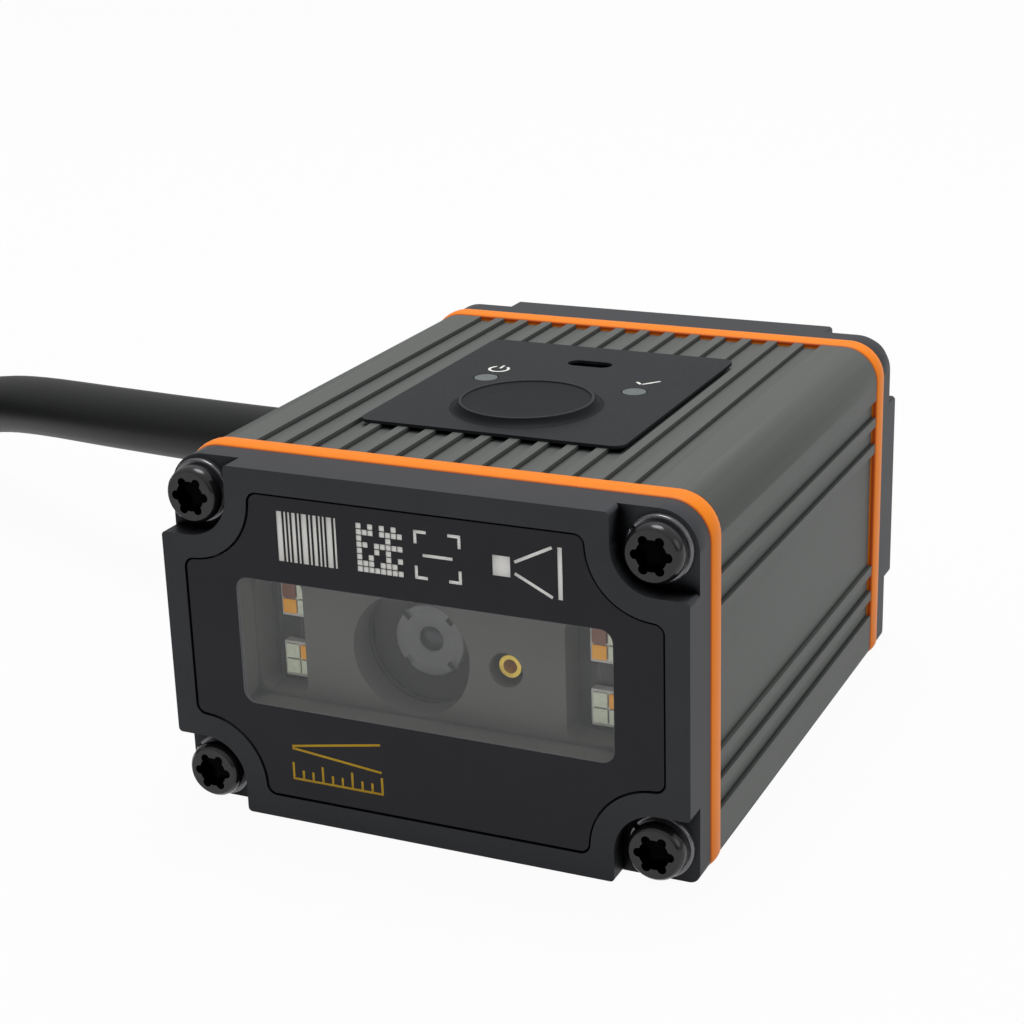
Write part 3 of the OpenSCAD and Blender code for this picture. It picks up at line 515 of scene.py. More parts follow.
FINISHES = {
    "anodised_tube": anodised, "black_cap": coated, "orange_gasket": silicone, "black_screw": black_oxide,
    "dark_steel": turned_metal, "clear_pane": printed_panel, "black_mask": ink, "grey_shroud": coated,
    "circuit_board": solder_mask, "grey_board": solder_mask,
    "amber_light": light_gel_painted_glow, "brown_light": light_gel_painted_glow, "pale_light": light_gel_painted_glow,
    "lens_barrel_grey": coated, "lens_glass": coated_lens, "black_chip": coated,
    "bright_steel": turned_metal, "brass": turned_metal, "amber_flex": film, "pale_plastic": coated,
    "red_lead": coated, "grey_overlay": film, "status_lens": frosted, "black_cable": jacket,
    "black_strap": woven,
}
# hollow paints shade: into black_cap's screw pockets, round grey_shroud's opening, and between the dies on
# pale_plastic.
FINISH_OPTIONS = {
    "black_cap": dict(grain=0.22, depth=0.014, rough=0.42, specular=0.07, hollow=(5, 0.75, 0.12)),
    "grey_shroud": dict(grain=0.14, depth=0.012, rough=0.55, specular=0.25, hollow=(3, 0.6, 0.4)),
    "lens_barrel_grey": dict(grain=0.1, depth=0.004, rough=0.4, specular=0.4),
    "dark_steel": dict(rough=0.16),
    "bright_steel": dict(rough=0.2, worn=0.08),
    "pale_plastic": dict(grain=0.2, depth=0.006, rough=0.45, specular=0.4, hollow=(0.4, 0.72, 0.12),
                         alone=False),
}
# Factor on a slot's colour, by which it looks right in this stage's light. black_mask is lifted to dark grey as
# painted light on its shaded rim behind the print, and the three lights are lifted as painted light for the
# shroud's shade.
TONES = {"black_cap": (2.8, 2.9, 2.6), "grey_overlay": 0.55, "status_lens": 0.5, "grey_shroud": 1.6,
         "lens_barrel_grey": 4.0, "black_cable": 0.65, "grey_board": 0.45, "black_chip": 0.4,
         "pale_plastic": 1.45, "black_mask": 10.0, "brass": 1.4, "amber_light": (1.35, 1.2, 0.35),
         "brown_light": (1.35, 0.9, 0.7), "pale_light": 1.2}
SETTING_OF = {"anodised_tube": "tube", "black_cap": "cap", "orange_gasket": "gasket", "grey_overlay": "film",
              "grey_shroud": "shroud", "black_cable": "jacket"}


def finish_of(slot):
    """The slot's material, made when it is first asked for."""
    name = "finish_" + slot
    if name in bpy.data.materials:
        return bpy.data.materials[name]
    colour = tuple(getattr(colours(), SETTING_OF[slot])) if slot in SETTING_OF else COLOUR_OF[slot]
    colour = tuple(np.multiply(colour, TONES.get(slot, 1)))
    return FINISHES[slot](name, colour, **FINISH_OPTIONS.get(slot, {}))


# ---------------------------------------------------------------- meshes

def grid_quads(rows, columns, first=0):
    """Corner numbers of a grid's quads; their normals are (along columns) x (along rows)."""
    i, j = np.meshgrid(np.arange(rows - 1), np.arange(columns - 1), indexing="ij")
    corner = first + i * columns + j
    return np.stack([corner, corner + 1, corner + columns + 1, corner + columns], -1).reshape(-1, 4)


def make_piece(name, grids, slot, body="reader", sharp=35, uvs=None, material=None):
    """Mesh of several grids of points in millimetres; points that coincide at seams and poles are merged."""
    flat = [np.asarray(grid, float) for grid in grids]
    firsts = np.cumsum([0] + [grid.shape[0] * grid.shape[1] for grid in flat])
    quads = np.concatenate([grid_quads(*grid.shape[:2], first) for grid, first in zip(flat, firsts)])
    points = np.concatenate([grid.reshape(-1, 3) for grid in flat]) * MM
    mesh = bpy.data.meshes.new(name)
    mesh.from_pydata(points.tolist(), [], quads.tolist())
    if uvs is not None:
        layer = mesh.uv_layers.new(name="own")
        corners = np.concatenate([np.asarray(uv, float).reshape(-1, 2) for uv in uvs])[quads.ravel()]
        layer.data.foreach_set("uv", corners.astype(np.float32).ravel())
    merged = bmesh.new()
    merged.from_mesh(mesh)
    bmesh.ops.remove_doubles(merged, verts=merged.verts, dist=SAME_POINT)
    bmesh.ops.dissolve_degenerate(merged, dist=NO_EDGE, edges=merged.edges)
    merged.to_mesh(mesh)
    merged.free()
    mesh.shade_smooth()
    mesh.set_sharp_from_angle(angle=radians(sharp))
    piece = bpy.data.objects.new(name, mesh)
    bpy.context.scene.collection.objects.link(piece)
    mesh.materials.append(material or finish_of(slot))
    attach(piece, body)
    return piece


def revolve(profile, centre, axes, segments=64):
    """Surface of revolution: a point (radius, height) of the profile goes to
    centre + radius (cos a first + sin a second) + height third, with a over a full turn."""
    radius, height = np.asarray(profile, float).T
    a = np.linspace(0, 2 * np.pi, segments + 1)
    first, second, third = (np.asarray(axis, float) for axis in axes)
    round_part = np.cos(a)[:, None] * first + np.sin(a)[:, None] * second
    return np.asarray(centre, float) + radius[:, None, None] * round_part + height[:, None, None] * third


def path_frames(path):
    """Side and up of a path whose direction is never vertical: side = z x direction, up = direction x side."""
    direction = np.gradient(path, axis=0)
    direction /= np.linalg.norm(direction, axis=1)[:, None]
    side = np.cross([0.0, 0.0, 1.0], direction)
    side /= np.linalg.norm(side, axis=1)[:, None]
    return side, np.cross(direction, side)


def tube(path, radius, sides=20):
    """Circle of a radius carried along a path: point = path + radius (cos a side + sin a up). Its ends are
    closed by one more ring at each end with no radius."""
    side, up = path_frames(path)
    a = np.linspace(0, 2 * np.pi, sides + 1)
    ring = np.cos(a)[None, :, None] * side[:, None] + np.sin(a)[None, :, None] * up[:, None]
    wall = path[:, None] + radius * ring
    first, last = (np.repeat(path[end, None, None], sides + 1, 1) for end in (0, -1))
    return np.concatenate([first, wall, last])


def smooth_route(points, step):
    """Catmull-Rom curve through the points, with about that many millimetres between its samples."""
    p = np.asarray(points, float)
    p = np.concatenate([[2 * p[0] - p[1]], p, [2 * p[-1] - p[-2]]])
    spans = len(p) - 3
    length = np.linalg.norm(np.diff(p[1:-1], axis=0), axis=1).sum()
    count = max(2, int(round(length / step / spans)))
    t = np.linspace(0, 1, count, endpoint=False)[:, None]
    a, b, c, d = (p[k:k + spans, None] for k in range(4))
    curve = 0.5 * (2 * b + (c - a) * t + (2 * a - 5 * b + 4 * c - d) * t ** 2
                   + (3 * b - a - 3 * c + d) * t ** 3)
    return np.concatenate([curve.reshape(-1, 3), p[-2:-1]])


def round_outline(x0, x1, z0, z1, low_r, high_r, steps=12):
    """Closed outline of a rectangle with round corners, anticlockwise from the front, and its normals."""
    turn = np.linspace(0, np.pi / 2, steps)
    corners = [(x1 - high_r, z1 - high_r, high_r, 0), (x0 + high_r, z1 - high_r, high_r, np.pi / 2),
               (x0 + low_r, z0 + low_r, low_r, np.pi), (x1 - low_r, z0 + low_r, low_r, 1.5 * np.pi)]
    angles = np.stack([start + turn for _, _, _, start in corners])
    normals = np.stack([np.cos(angles), np.sin(angles)], -1)
    centres = np.array([(x, z) for x, z, _, _ in corners])[:, None]
    radii = np.array([r for _, _, r, _ in corners])[:, None, None]
    points = (centres + radii * normals).reshape(-1, 2)
    normals = normals.reshape(-1, 2)
    return np.concatenate([points, points[:1]]), np.concatenate([normals, normals[:1]])


def ease(t):
    """Smooth step from 0 to 1."""
    t = np.clip(t, 0, 1)
    return t * t * (3 - 2 * t)


def squarish(a, power):
    """Rounded square at the angles a: |cos a| and |sin a| to the power, with the signs of cos a and sin a."""
    return [np.sign(wave) * np.abs(wave) ** power for wave in (np.cos(a), np.sin(a))]


def soften(node, width, segments, angle):
    """Rounds a CAD node's edges: its loose triangles are welded, then edges sharper than the angle bevelled."""
    weld = NODES[node].modifiers.new("weld", "WELD")
    weld.merge_threshold = SAME_POINT
    bevel = NODES[node].modifiers.new("bevel", "BEVEL")
    bevel.width = width
    bevel.segments = segments
    bevel.limit_method = "ANGLE"
    bevel.angle_limit = radians(angle)
    bevel.harden_normals = True


def dress(names, width=0.0, segments=2, angle=50):
    """Gives CAD nodes the finish of their slot, and round edges where a width is given."""
    for name in names:
        data = NODES[name].data
        data.materials.clear()
        data.materials.append(finish_of(SLOT_OF[name]))
        if width:
            soften(name, width, segments, angle)


# ---------------------------------------------------------------- cable

ROUTE_OUT = [
    (-40, 17.8, 18.6), (-44, 17.8, 18.6), (-56, 20.9, 17.7), (-70, 25.2, 16.5), (-85, 31.2, 14.7),
    (-95, 35.9, 12.7), (-105, 40.4, 9.7), (-113, 44.1, 7.1), (-121, 47.6, 5.3), (-129, 50.8, 4.75),
    (-138, 53.5, 4.7), (-148, 54.6, 4.7)]
COIL_CENTRE = (-148, 7)
COIL_MID_R = 40
COIL_LOW_Z = 4.7
COIL_TURNS = 5.5
COIL_STEPS = 56
ROUTE_STEP = 3
TAIL_OUT = 9.8
TAIL_DROP = 7.9
TAIL_END = 5
# Turns at which a step starts, turns that it takes, and its size: sideways in columns, and up in layers.
COLUMN_STEPS = [(0.6, 0.3, -1), (1.6, 0.3, -1), (2.95, 0.3, 1), (3.95, 0.3, 1)]
RISE = (2.25, 0.3)
LEAVE = (4.95, 0.4)
DROP = (5.15, 0.35)
# Boot, measured from WALL_X just outside the left wall: its ribs and tip, and the groove that the wall lies in.
WALL_X = node_box("housing_extrusion")[0][0] - 0.2
BOOT_FROM, BOOT_TIP_T = 1.7, 0.5
BOOT_WIDE_R, BOOT_THIN_R, BOOT_TIP_R = 4.75, 4.25, 4.05
BOOT_PITCH, BOOT_GROOVE = 2.3, 0.38
WALL_HOLE_R, WALL_IN, WALL_OUT = 4.6, -2.5, -0.64
# Strap: half its width, its edge, half its thickness, and how far its middle lies inside the tie.
STRAP_HALF_W, STRAP_EDGE, STRAP_HALF_T = 6, 0.2, 0.4
STRAP_SINK = 0.45
SQUARENESS = 5.5
# Plug: its ribbed neck, where that grows into the body, the body's edge and its finger grooves.
NECK_L, NECK_R, NECK_GAP = 10, 4.3, 0.1
NECK_PITCH, NECK_GROOVE, NECK_PLAIN = 2.5, 0.3, 1.2
GROW_FROM, GROW_L = 9.2, 4.5
PLUG_EDGE = 0.8
GRIP_AT, GRIP_PITCH, GRIP_REACH, GRIP_DEEP = 24, 3.2, 7.3, 0.4


def coil_path(pitch):
    """Coil in two layers of three columns. With t in turns from its top, the angle is 90 + 360 t degrees; the
    radius starts one pitch outside the middle column and steps by a pitch at each of COLUMN_STEPS, then leaves
    the coil; the height rises by a pitch at RISE and comes down to the floor at DROP. Each step is eased."""
    t = np.linspace(0, COIL_TURNS, int(COIL_TURNS * COIL_STEPS) + 1)

    def step(start, length):
        return ease((t - start) / length)

    column = 1 + sum(way * step(start, length) for start, length, way in COLUMN_STEPS)
    radius = COIL_MID_R + pitch * column + TAIL_OUT * step(*LEAVE)
    height = COIL_LOW_Z + pitch * step(*RISE) - TAIL_DROP * step(*DROP)
    a = np.pi / 2 + 2 * np.pi * t
    turns = np.stack([COIL_CENTRE[0] + radius * np.cos(a), COIL_CENTRE[1] + radius * np.sin(a), height], 1)
    straight = turns[-1] + np.linspace(0, TAIL_END, 3)[1:, None] * np.array([1, 0, 0])
    return np.concatenate([turns, straight])


class READER_OT_cable(bpy.types.Operator):
    """Builds the cable, its boot, its plug and the strap round its coil"""

    bl_idname = "reader.cable"
    bl_label = "Cable"

    def execute(self, context):
        radius = sizes().cable_d / MM / 2
        path = np.concatenate([smooth_route(ROUTE_OUT, ROUTE_STEP)[:-1], coil_path(sizes().turn_pitch / MM)])
        cable = make_piece("cable_jacket", [tube(path, radius)], "black_cable")
        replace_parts(cable, "cable", "cable_coil", "cable_tail")
        boot = self.make_boot(radius)
        strap = self.make_strap()
        plug = self.make_plug(radius)
        dress(["plug_shell", "plug_tongue"], sizes().small_edge, angle=40)
        return {"FINISHED"}

    def make_boot(self, cable_r):
        """Ribbed boot on the wall: over the distance h from the wall, the radius falls in a straight line from
        the shoulder to the tip, less a groove of depth g (1 - cos^4) between the ribs."""
        low, high = node_box("strain_relief")
        collar_r = (high[2] - low[2]) / 2
        centre = (WALL_X, (low[1] + high[1]) / 2, (low[2] + high[2]) / 2)
        reach = WALL_X - low[0]
        inner = WALL_X - high[0]
        h = np.linspace(BOOT_FROM, reach - BOOT_TIP_T, 110)
        rib = np.cos(np.pi * (h - BOOT_FROM) / BOOT_PITCH) ** 4
        taper = BOOT_WIDE_R + (BOOT_THIN_R - BOOT_WIDE_R) * (h - BOOT_FROM) / (reach - BOOT_FROM - BOOT_TIP_T)
        ribbed = np.stack([taper - BOOT_GROOVE * (1 - rib), h], 1)
        inside = [(0, inner), (collar_r - 0.3, inner), (collar_r, inner + 0.3), (collar_r, WALL_IN),
                  (WALL_HOLE_R, WALL_IN), (WALL_HOLE_R, WALL_OUT), (collar_r, WALL_OUT), (collar_r, 0.9),
                  (collar_r - 0.12, 1.25), (collar_r - 0.45, 1.5)]
        tip = [(BOOT_TIP_R, reach - 0.35), (cable_r + 0.12, reach), (0, reach)]
        profile = np.concatenate([inside, ribbed, tip])
        axes = ((0, 1, 0), (0, 0, -1), (-1, 0, 0))
        boot = make_piece("relief_boot", [revolve(profile, centre, axes, 56)], "black_cable")
        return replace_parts(boot, "strain_relief")

    def make_strap(self):
        """Woven strap: a flat band carried round the section of the tied turns, the rounded rectangle
        (half_y |cos a|^p, half_z |sin a|^p)."""
        low, high = node_box("cable_tie")
        half_y, half_z = (high[1:] - low[1:]) / 2 - STRAP_SINK
        middle = (low + high) / 2
        a = np.linspace(0, 2 * np.pi, 181)
        wide, tall = squarish(a, 2 / SQUARENESS)
        round_y, round_z = half_y * wide, half_z * tall
        flat_w = STRAP_HALF_W - STRAP_EDGE
        across = np.array([-STRAP_HALF_W, -flat_w, flat_w, STRAP_HALF_W, flat_w, -flat_w, -STRAP_HALF_W])
        out = STRAP_HALF_T * np.array([0, 1, 1, 0, -1, -1, 0])
        x = np.broadcast_to(middle[0] + across[None, :], (len(a), len(across)))
        band = np.stack([x, middle[1] + round_y[:, None] * (1 + out[None, :] / half_y),
                         middle[2] + round_z[:, None] * (1 + out[None, :] / half_z)], -1)
        run = np.concatenate([[0], np.cumsum(np.hypot(np.diff(round_y), np.diff(round_z)))]) * MM
        uv = np.stack(np.broadcast_arrays(run[:, None], (across * MM)[None, :]), -1)
        strap = make_piece("coil_strap", [band], "black_strap", uvs=[uv])
        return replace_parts(strap, "cable_tie")

    def make_plug(self, cable_r):
        """Moulded plug: sections (w |cos a|^(2/n), h |sin a|^(2/n)) along the plug, round at the neck and
        nearly rectangular in the body, with five finger grooves in its top and bottom."""
        low, high = node_box("plug_body")
        length = high[0] - low[0]
        edge_from = length - PLUG_EDGE
        s = np.concatenate([[0, 0], np.linspace(0, NECK_L, 31), np.linspace(NECK_L + 0.2, edge_from, 110),
                            length - PLUG_EDGE * (1 - np.sin(np.linspace(0.1, 1, 6) * np.pi / 2)), [length]])
        grow = ease((s - GROW_FROM) / GROW_L)
        half_w, half_h = (high[1:] - low[1:]) / 2
        start_r = cable_r + NECK_GAP
        ripple = 0.5 - 0.5 * np.cos(2 * np.pi * s / NECK_PITCH)
        neck = start_r + (NECK_R - start_r) * np.clip(s / NECK_L, 0, 1)
        neck = neck - NECK_GROOVE * ripple * (1 - grow) * ease(s / NECK_PLAIN)
        grip = s - GRIP_AT
        groove = np.clip(np.cos(2 * np.pi * grip / GRIP_PITCH), 0, 1) * (np.abs(grip) < GRIP_REACH)
        rounding = PLUG_EDGE * (1 - np.sqrt(np.clip(1 - ((s - edge_from) / PLUG_EDGE) ** 2, 0, 1)))
        end = np.where(s > edge_from, rounding, 0)
        wide = neck + (half_w - neck) * grow - end
        tall = neck + (half_h - neck) * grow - GRIP_DEEP * groove * grow - end
        wide[[0, -1]] = tall[[0, -1]] = 0
        power = (2 / (2 + (SQUARENESS - 2) * grow))[:, None]
        across, up = squarish(np.linspace(0, 2 * np.pi, 73)[None, :], power)
        y, z = wide[:, None] * across, tall[:, None] * up
        x = np.broadcast_to(low[0] + s[:, None], y.shape)
        skin = np.stack([x, (low[1] + high[1]) / 2 + y, (low[2] + high[2]) / 2 + z], -1)
        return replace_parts(make_piece("plug_grip", [skin], "black_cable", sharp=50), "plug_body")


# ---------------------------------------------------------------- body

class READER_OT_body(bpy.types.Operator):
    """Dresses the tube, the caps, the gaskets and the cap screws"""

    bl_idname = "reader.body"
    bl_label = "Body"

    def execute(self, context):
        s = sizes()
        dress(["housing_extrusion"], s.tube_edge, 1)
        dress(["front_bezel", "rear_cover"], s.cap_edge, 3)
        for node in ("front_gasket", "rear_gasket"):
            self.make_bead(node, s.bead_proud / MM)
        dress(["front_screws", "rear_screws"], s.small_edge * 1.5, angle=40)
        dress(["front_washers", "rear_washers"], s.small_edge * 3, 3)
        return {"FINISHED"}

    def make_bead(self, node, proud):
        """Gasket as a bead. With a over half a turn across it, its section lies sink - (sink + proud) sin a
        inside the caps' outline, a rectangle with round corners; each point of the outline moves along its own
        normal. The bulge fades out towards the base, which the reader stands on. U is the way across, and 0.5
        deep inside; by it the finish paints shade along the bead's edges."""
        low, high = node_box(node)
        a = np.linspace(0, np.pi, 19)
        outline, normal = round_outline(low[0], high[0], low[2], high[2], BASE_CORNER_R, TOP_CORNER_R)
        bulge = BEAD_SINK + proud * np.clip(1 + normal[:, 1:], 0, 1)
        deep = np.full((len(outline), 1), BEAD_DEEP)
        depth = np.concatenate([deep, BEAD_SINK - bulge * np.sin(a), deep, deep], 1)
        across = np.concatenate([[0], (1 - np.cos(a)) / 2, [1, 0]])
        flat = outline[:, None] - depth[..., None] * normal[:, None]
        along = np.broadcast_to(low[1] + across * (high[1] - low[1]), depth.shape)
        ring = np.stack([flat[..., 0], along, flat[..., 1]], -1)
        run = np.linspace(0, 1, len(outline))
        # tint carries U, by which the finish paints shade along the bead's edges.
        tint = np.concatenate([[0.5], across[1:-2], [0.5, 0.5]])
        uv = np.stack(np.broadcast_arrays(tint[None], run[:, None]), -1)
        bead = make_piece(node.replace("gasket", "bead"), [ring], SLOT_OF[node], sharp=60, uvs=[uv])
        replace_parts(bead, node)


class READER_OT_front(bpy.types.Operator):
    """Dresses the window and the optics behind it"""

    bl_idname = "reader.front"
    bl_label = "Window and optics"

    def execute(self, context):
        dress(["window_pane", "window_mask", "lens"])
        dress(["light_shroud", "lens_barrel", "aimer_tube", "light_packages", "amber_dies", "brown_dies",
               "pale_dies"], sizes().small_edge)
        return {"FINISHED"}


class READER_OT_inside(bpy.types.Operator):
    """Dresses the boards and the pieces on them"""

    bl_idname = "reader.inside"
    bl_label = "Inside"

    def execute(self, context):
        dress(["illumination_board", "sensor_board", "decoder_board", "key_board", "sensor_flex", "link_flex",
               "cable_leads", "optics_screws", "status_leds", "switch_plunger"])
        dress(["lens_holder", "image_sensor", "decoder_chips", "capacitors", "cable_header", "aimer_emitter",
               "trigger_switch", "buzzer"], sizes().small_edge)
        return {"FINISHED"}


# ---------------------------------------------------------------- top

# Key: the foot's height and lap, the rim's place and half thickness, the dish, and how hollow the skirt is.
KEY_FOOT, KEY_LAP = 0.28, 0.08
KEY_RIM_IN, KEY_RIM_T = 0.9, 0.16
KEY_DISH, DISH_STEEP = 0.1, 2.5
KEY_HOLLOW = 2.2


class READER_OT_top(bpy.types.Operator):
    """Dresses the film on the top and builds its key cap"""

    bl_idname = "reader.top"
    bl_label = "Film and key"

    def execute(self, context):
        dress(["overlay", "light_pipes"], sizes().small_edge)
        self.make_key()
        return {"FINISHED"}

    def make_key(self):
        """Key cap: a profile turned about the key's axis. The skirt's radius falls with t and its height rises
        with t^KEY_HOLLOW, the rim is half a circle, and the dish sinks by an eased step."""
        low, high = node_box("trigger_key")
        base_r = (high[0] - low[0]) / 2
        foot_r, foot_z = base_r + KEY_LAP, low[2] + KEY_FOOT
        rim_r, rim_z = base_r - KEY_RIM_IN, high[2] - KEY_RIM_T
        t = np.linspace(0, 1, 20)
        skirt = np.stack([foot_r + (rim_r + KEY_RIM_T - foot_r) * t,
                          foot_z + (rim_z - foot_z) * t ** KEY_HOLLOW], 1)
        lip = np.linspace(0, np.pi, 13)[1:]
        rim = np.stack([rim_r + KEY_RIM_T * np.cos(lip), rim_z + KEY_RIM_T * np.sin(lip)], 1)
        d = np.linspace(0, 1, 24)[1:]
        dish = np.stack([(rim_r - KEY_RIM_T) * (1 - d), rim_z - KEY_DISH * ease(d * DISH_STEEP)], 1)
        profile = np.concatenate([[(0, low[2]), (foot_r, low[2])], skirt, rim, dish])
        centre = ((low[0] + high[0]) / 2, (low[1] + high[1]) / 2, 0)
        axes = ((1, 0, 0), (0, 1, 0), (0, 0, 1))
        film_colour = tuple(c * TONES["grey_overlay"] for c in colours().film)
        key = make_piece("key_cap", [revolve(profile, centre, axes, 96)], "grey_overlay", "trigger",
                         material=key_film_painted_light("finish_key", film_colour, centre, rim_r))
        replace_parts(key, "trigger_key")


# ---------------------------------------------------------------- signs

# Row of code signs: its middle, half its height and its line width.
SIGN_Z, SIGN_HALF, LINE_W = 27.5, 2.3, 0.28
# Bars: their widths in units, the unit, the gap and the first one's place.
BARS, BAR_UNIT, BAR_GAP, BARS_LEFT = (3, 1, 1, 2, 1, 3, 1, 2, 1, 1, 3, 1), 0.17, 0.22, -13
# Cells: their number on a side, a cell's side, the pitch and the lowest one's place.
CELLS, CELL, CELL_PITCH, CELLS_LEFT, CELLS_LOW = 8, 0.48, 0.56, -5.2, -2.24
# Corner brackets: their middle, half their square, an arm and half the line between them.
AIM_X, AIM_HALF, AIM_ARM, AIM_LINE = 2.5, 2.2, 1.2, 1.4
# Reading field: the box's sides and half height, the upper ray's ends and the target's sides.
FIELD_BOX, FIELD_RAY, FIELD_END = (7.6, 9.2, 0.9), (9.6, 0.5, 13, 2.2), (13.5, 13.9)
# Distance scale: its ends, height and line width, its marks and its rays' heights.
RULE_FROM, RULE_TO, RULE_Z, RULE_W = -13, -4, 4.3, 0.22
MARK, LONG_MARK, RULE_RAYS = 0.8, 1.5, ((7.4, 9), (7.2, 6.3))
YELLOW = (0.62, 0.38, 0.03)
# Signs on the film: their distance from the status windows, half a window, and the signs' own sizes.
FILM_SIGN_UP, PIPE_HALF = 3.1, 1.1
POWER_R, TICK_W = 0.95, 0.3
SIGN_LIFT = 0.002


def bar(x0, x1, z0, z1):
    """Rectangle of a sign as a 2 x 2 grid in the plane of the sign."""
    return np.array([[(x0, z0), (x1, z0)], [(x0, z1), (x1, z1)]], float)


def arc(centre, radius, width, start, end, steps=24):
    """Ring sector as a grid: radius +- width / 2 over angles from start to end, in degrees."""
    a = np.radians(np.linspace(end, start, steps))
    r = np.array([radius - width / 2, radius + width / 2])
    return np.stack([centre[0] + r[:, None] * np.cos(a), centre[1] + r[:, None] * np.sin(a)], -1)


def stroke(x0, z0, x1, z1, width):
    """Straight line of a width between two points, as a 2 x 2 grid."""
    way = np.array([x1 - x0, z1 - z0], float)
    side = np.array([-way[1], way[0]]) / np.linalg.norm(way) * width / 2
    a, b = np.array([x0, z0], float), np.array([x1, z1], float)
    return np.array([[a - side, b - side], [a + side, b + side]])


class READER_OT_signs(bpy.types.Operator):
    """Builds the plain printed signs on the front panel and the film"""

    bl_idname = "reader.signs"
    bl_label = "Signs"

    def execute(self, context):
        self.panel_signs()
        self.film_signs()
        return {"FINISHED"}

    def print_on(self, name, shapes, place, slot, material=None):
        """Shapes in a plane become thin plates: place maps (u, v) to a point, Solidify adds thickness."""
        sign = make_piece(name, [place(shape) for shape in shapes], slot, material=material)
        wall = sign.modifiers.new("thickness", "SOLIDIFY")
        wall.thickness = sizes().sign_t
        wall.offset = 1

    def panel_signs(self):
        """Row of code kinds that the reader takes, and a reading-distance scale, all plain shapes."""
        front = node_box("window_pane")[0][1]

        def place(shape):
            return np.stack([shape[..., 0], np.full(shape.shape[:-1], front - SIGN_LIFT), shape[..., 1]], -1)

        codes = self.bars() + self.cells() + self.brackets() + self.field()
        self.print_on("panel_code_signs", codes, place, "pale_plastic")
        yellow = ink("finish_yellow_sign", YELLOW)
        self.print_on("panel_range_signs", self.scale(), place, "amber_light", yellow)

    def bars(self):
        """Bars of the BARS' widths beside each other."""
        widths = np.array(BARS) * BAR_UNIT
        starts = BARS_LEFT + np.concatenate([[0], np.cumsum(widths + BAR_GAP)[:-1]])
        return [bar(x, x + w, SIGN_Z - SIGN_HALF, SIGN_Z + SIGN_HALF) for x, w in zip(starts, widths)]

    def cells(self):
        """Square of cells: two full sides, two dashed sides, and inside them each cell (i, j) for which
        3 i^2 + 5 j + 7 i j leaves 0 or 1 when divided by 5."""
        made = []
        last = CELLS - 1
        for i, j in np.ndindex(CELLS, CELLS):
            side = i == 0 or j == 0 or (i == last and j % 2 == 0) or (j == last and i % 2 == 0)
            inner = 0 < i < last and 0 < j < last and (3 * i * i + 5 * j + 7 * i * j) % 5 < 2
            if side or inner:
                x, z = CELLS_LEFT + CELL_PITCH * i, SIGN_Z + CELLS_LOW + CELL_PITCH * j
                made.append(bar(x, x + CELL, z, z + CELL))
        return made

    def brackets(self):
        """Four corner brackets of two arms each, round a short line."""
        made = [bar(AIM_X - AIM_LINE, AIM_X + AIM_LINE, SIGN_Z - LINE_W / 2, SIGN_Z + LINE_W / 2)]
        for sx in (-1, 1):
            for sz in (-1, 1):
                x, z = AIM_X + sx * AIM_HALF, SIGN_Z + sz * AIM_HALF
                made += [bar(*sorted((x, x - sx * AIM_ARM)), *sorted((z, z - sz * LINE_W))),
                         bar(*sorted((x, x - sx * LINE_W)), *sorted((z - sz * LINE_W, z - sz * AIM_ARM)))]
        return made

    def field(self):
        """A box, two rays that open out of it, and the target that they reach."""
        left, right, half = FIELD_BOX
        x0, z0, x1, z1 = FIELD_RAY
        return [bar(left, right, SIGN_Z - half, SIGN_Z + half),
                stroke(x0, SIGN_Z + z0, x1, SIGN_Z + z1, LINE_W),
                stroke(x0, SIGN_Z - z0, x1, SIGN_Z - z1, LINE_W),
                bar(*FIELD_END, SIGN_Z - SIGN_HALF, SIGN_Z + SIGN_HALF)]

    def scale(self):
        """A line with ten marks, each third one long, under two rays that open out."""
        half = RULE_W / 2
        marks = [bar(x - half, x + half, RULE_Z, RULE_Z + (MARK if k % 3 else LONG_MARK))
                 for k, x in enumerate(np.linspace(RULE_FROM, RULE_TO, 10))]
        line = bar(RULE_FROM - half, RULE_TO + half, RULE_Z - RULE_W, RULE_Z)
        return marks + [line] + [stroke(RULE_FROM, z0, RULE_TO, z1, RULE_W) for z0, z1 in RULE_RAYS]

    def film_signs(self):
        """Power sign beside the left window, and a tick beside the right one."""
        top = node_box("overlay")[1][2]
        low, high = node_box("light_pipes")

        def place(shape):
            return np.stack([shape[..., 0], shape[..., 1], np.full(shape.shape[:-1], top + SIGN_LIFT)], -1)

        y = (low[1] + high[1]) / 2 + FILM_SIGN_UP
        left, right = low[0] + PIPE_HALF, high[0] - PIPE_HALF
        power = [arc((left, y), POWER_R, LINE_W, 125, 415),
                 bar(left - LINE_W / 2, left + LINE_W / 2, y + 0.2, y + 1.3)]
        tick = [stroke(right - 1, y, right - 0.25, y - 0.75, TICK_W),
                stroke(right - 0.36, y - 0.8, right + 1.1, y + 0.9, TICK_W)]
        self.print_on("film_signs", power + tick, place, "pale_plastic")


# ---------------------------------------------------------------- stage

# The sky's levels where the dot product with SKY_WAY is one of SKY_DOTS.
SKY_WAY = (0.05, 0.2, 0.98)
SKY_DOTS, SKY_LEVELS = (-0.35, 0.9), (0.12, 1.55)
# A lamp's place and width in metres, and the point that the lamps look at.
KEY_LAMP, FILL_LAMP = ((-0.05, 0.16, 0.8), 0.42), ((0.72, 0.02, 0.3), 0.4)
LAMP_AIM = (0, 0, 0.015)
FLOOR_HALF = 20.0
FLOOR_TONES = (0.64, 0.67)
CAMERA_EYE = (0.0799076, -0.1802933, 0.0903722)
CAMERA_AXES = ((0.908628, 0.416548, -0.029707), (-0.112688, 0.313064, 0.943023), (0.402114, -0.85351, 0.331399))


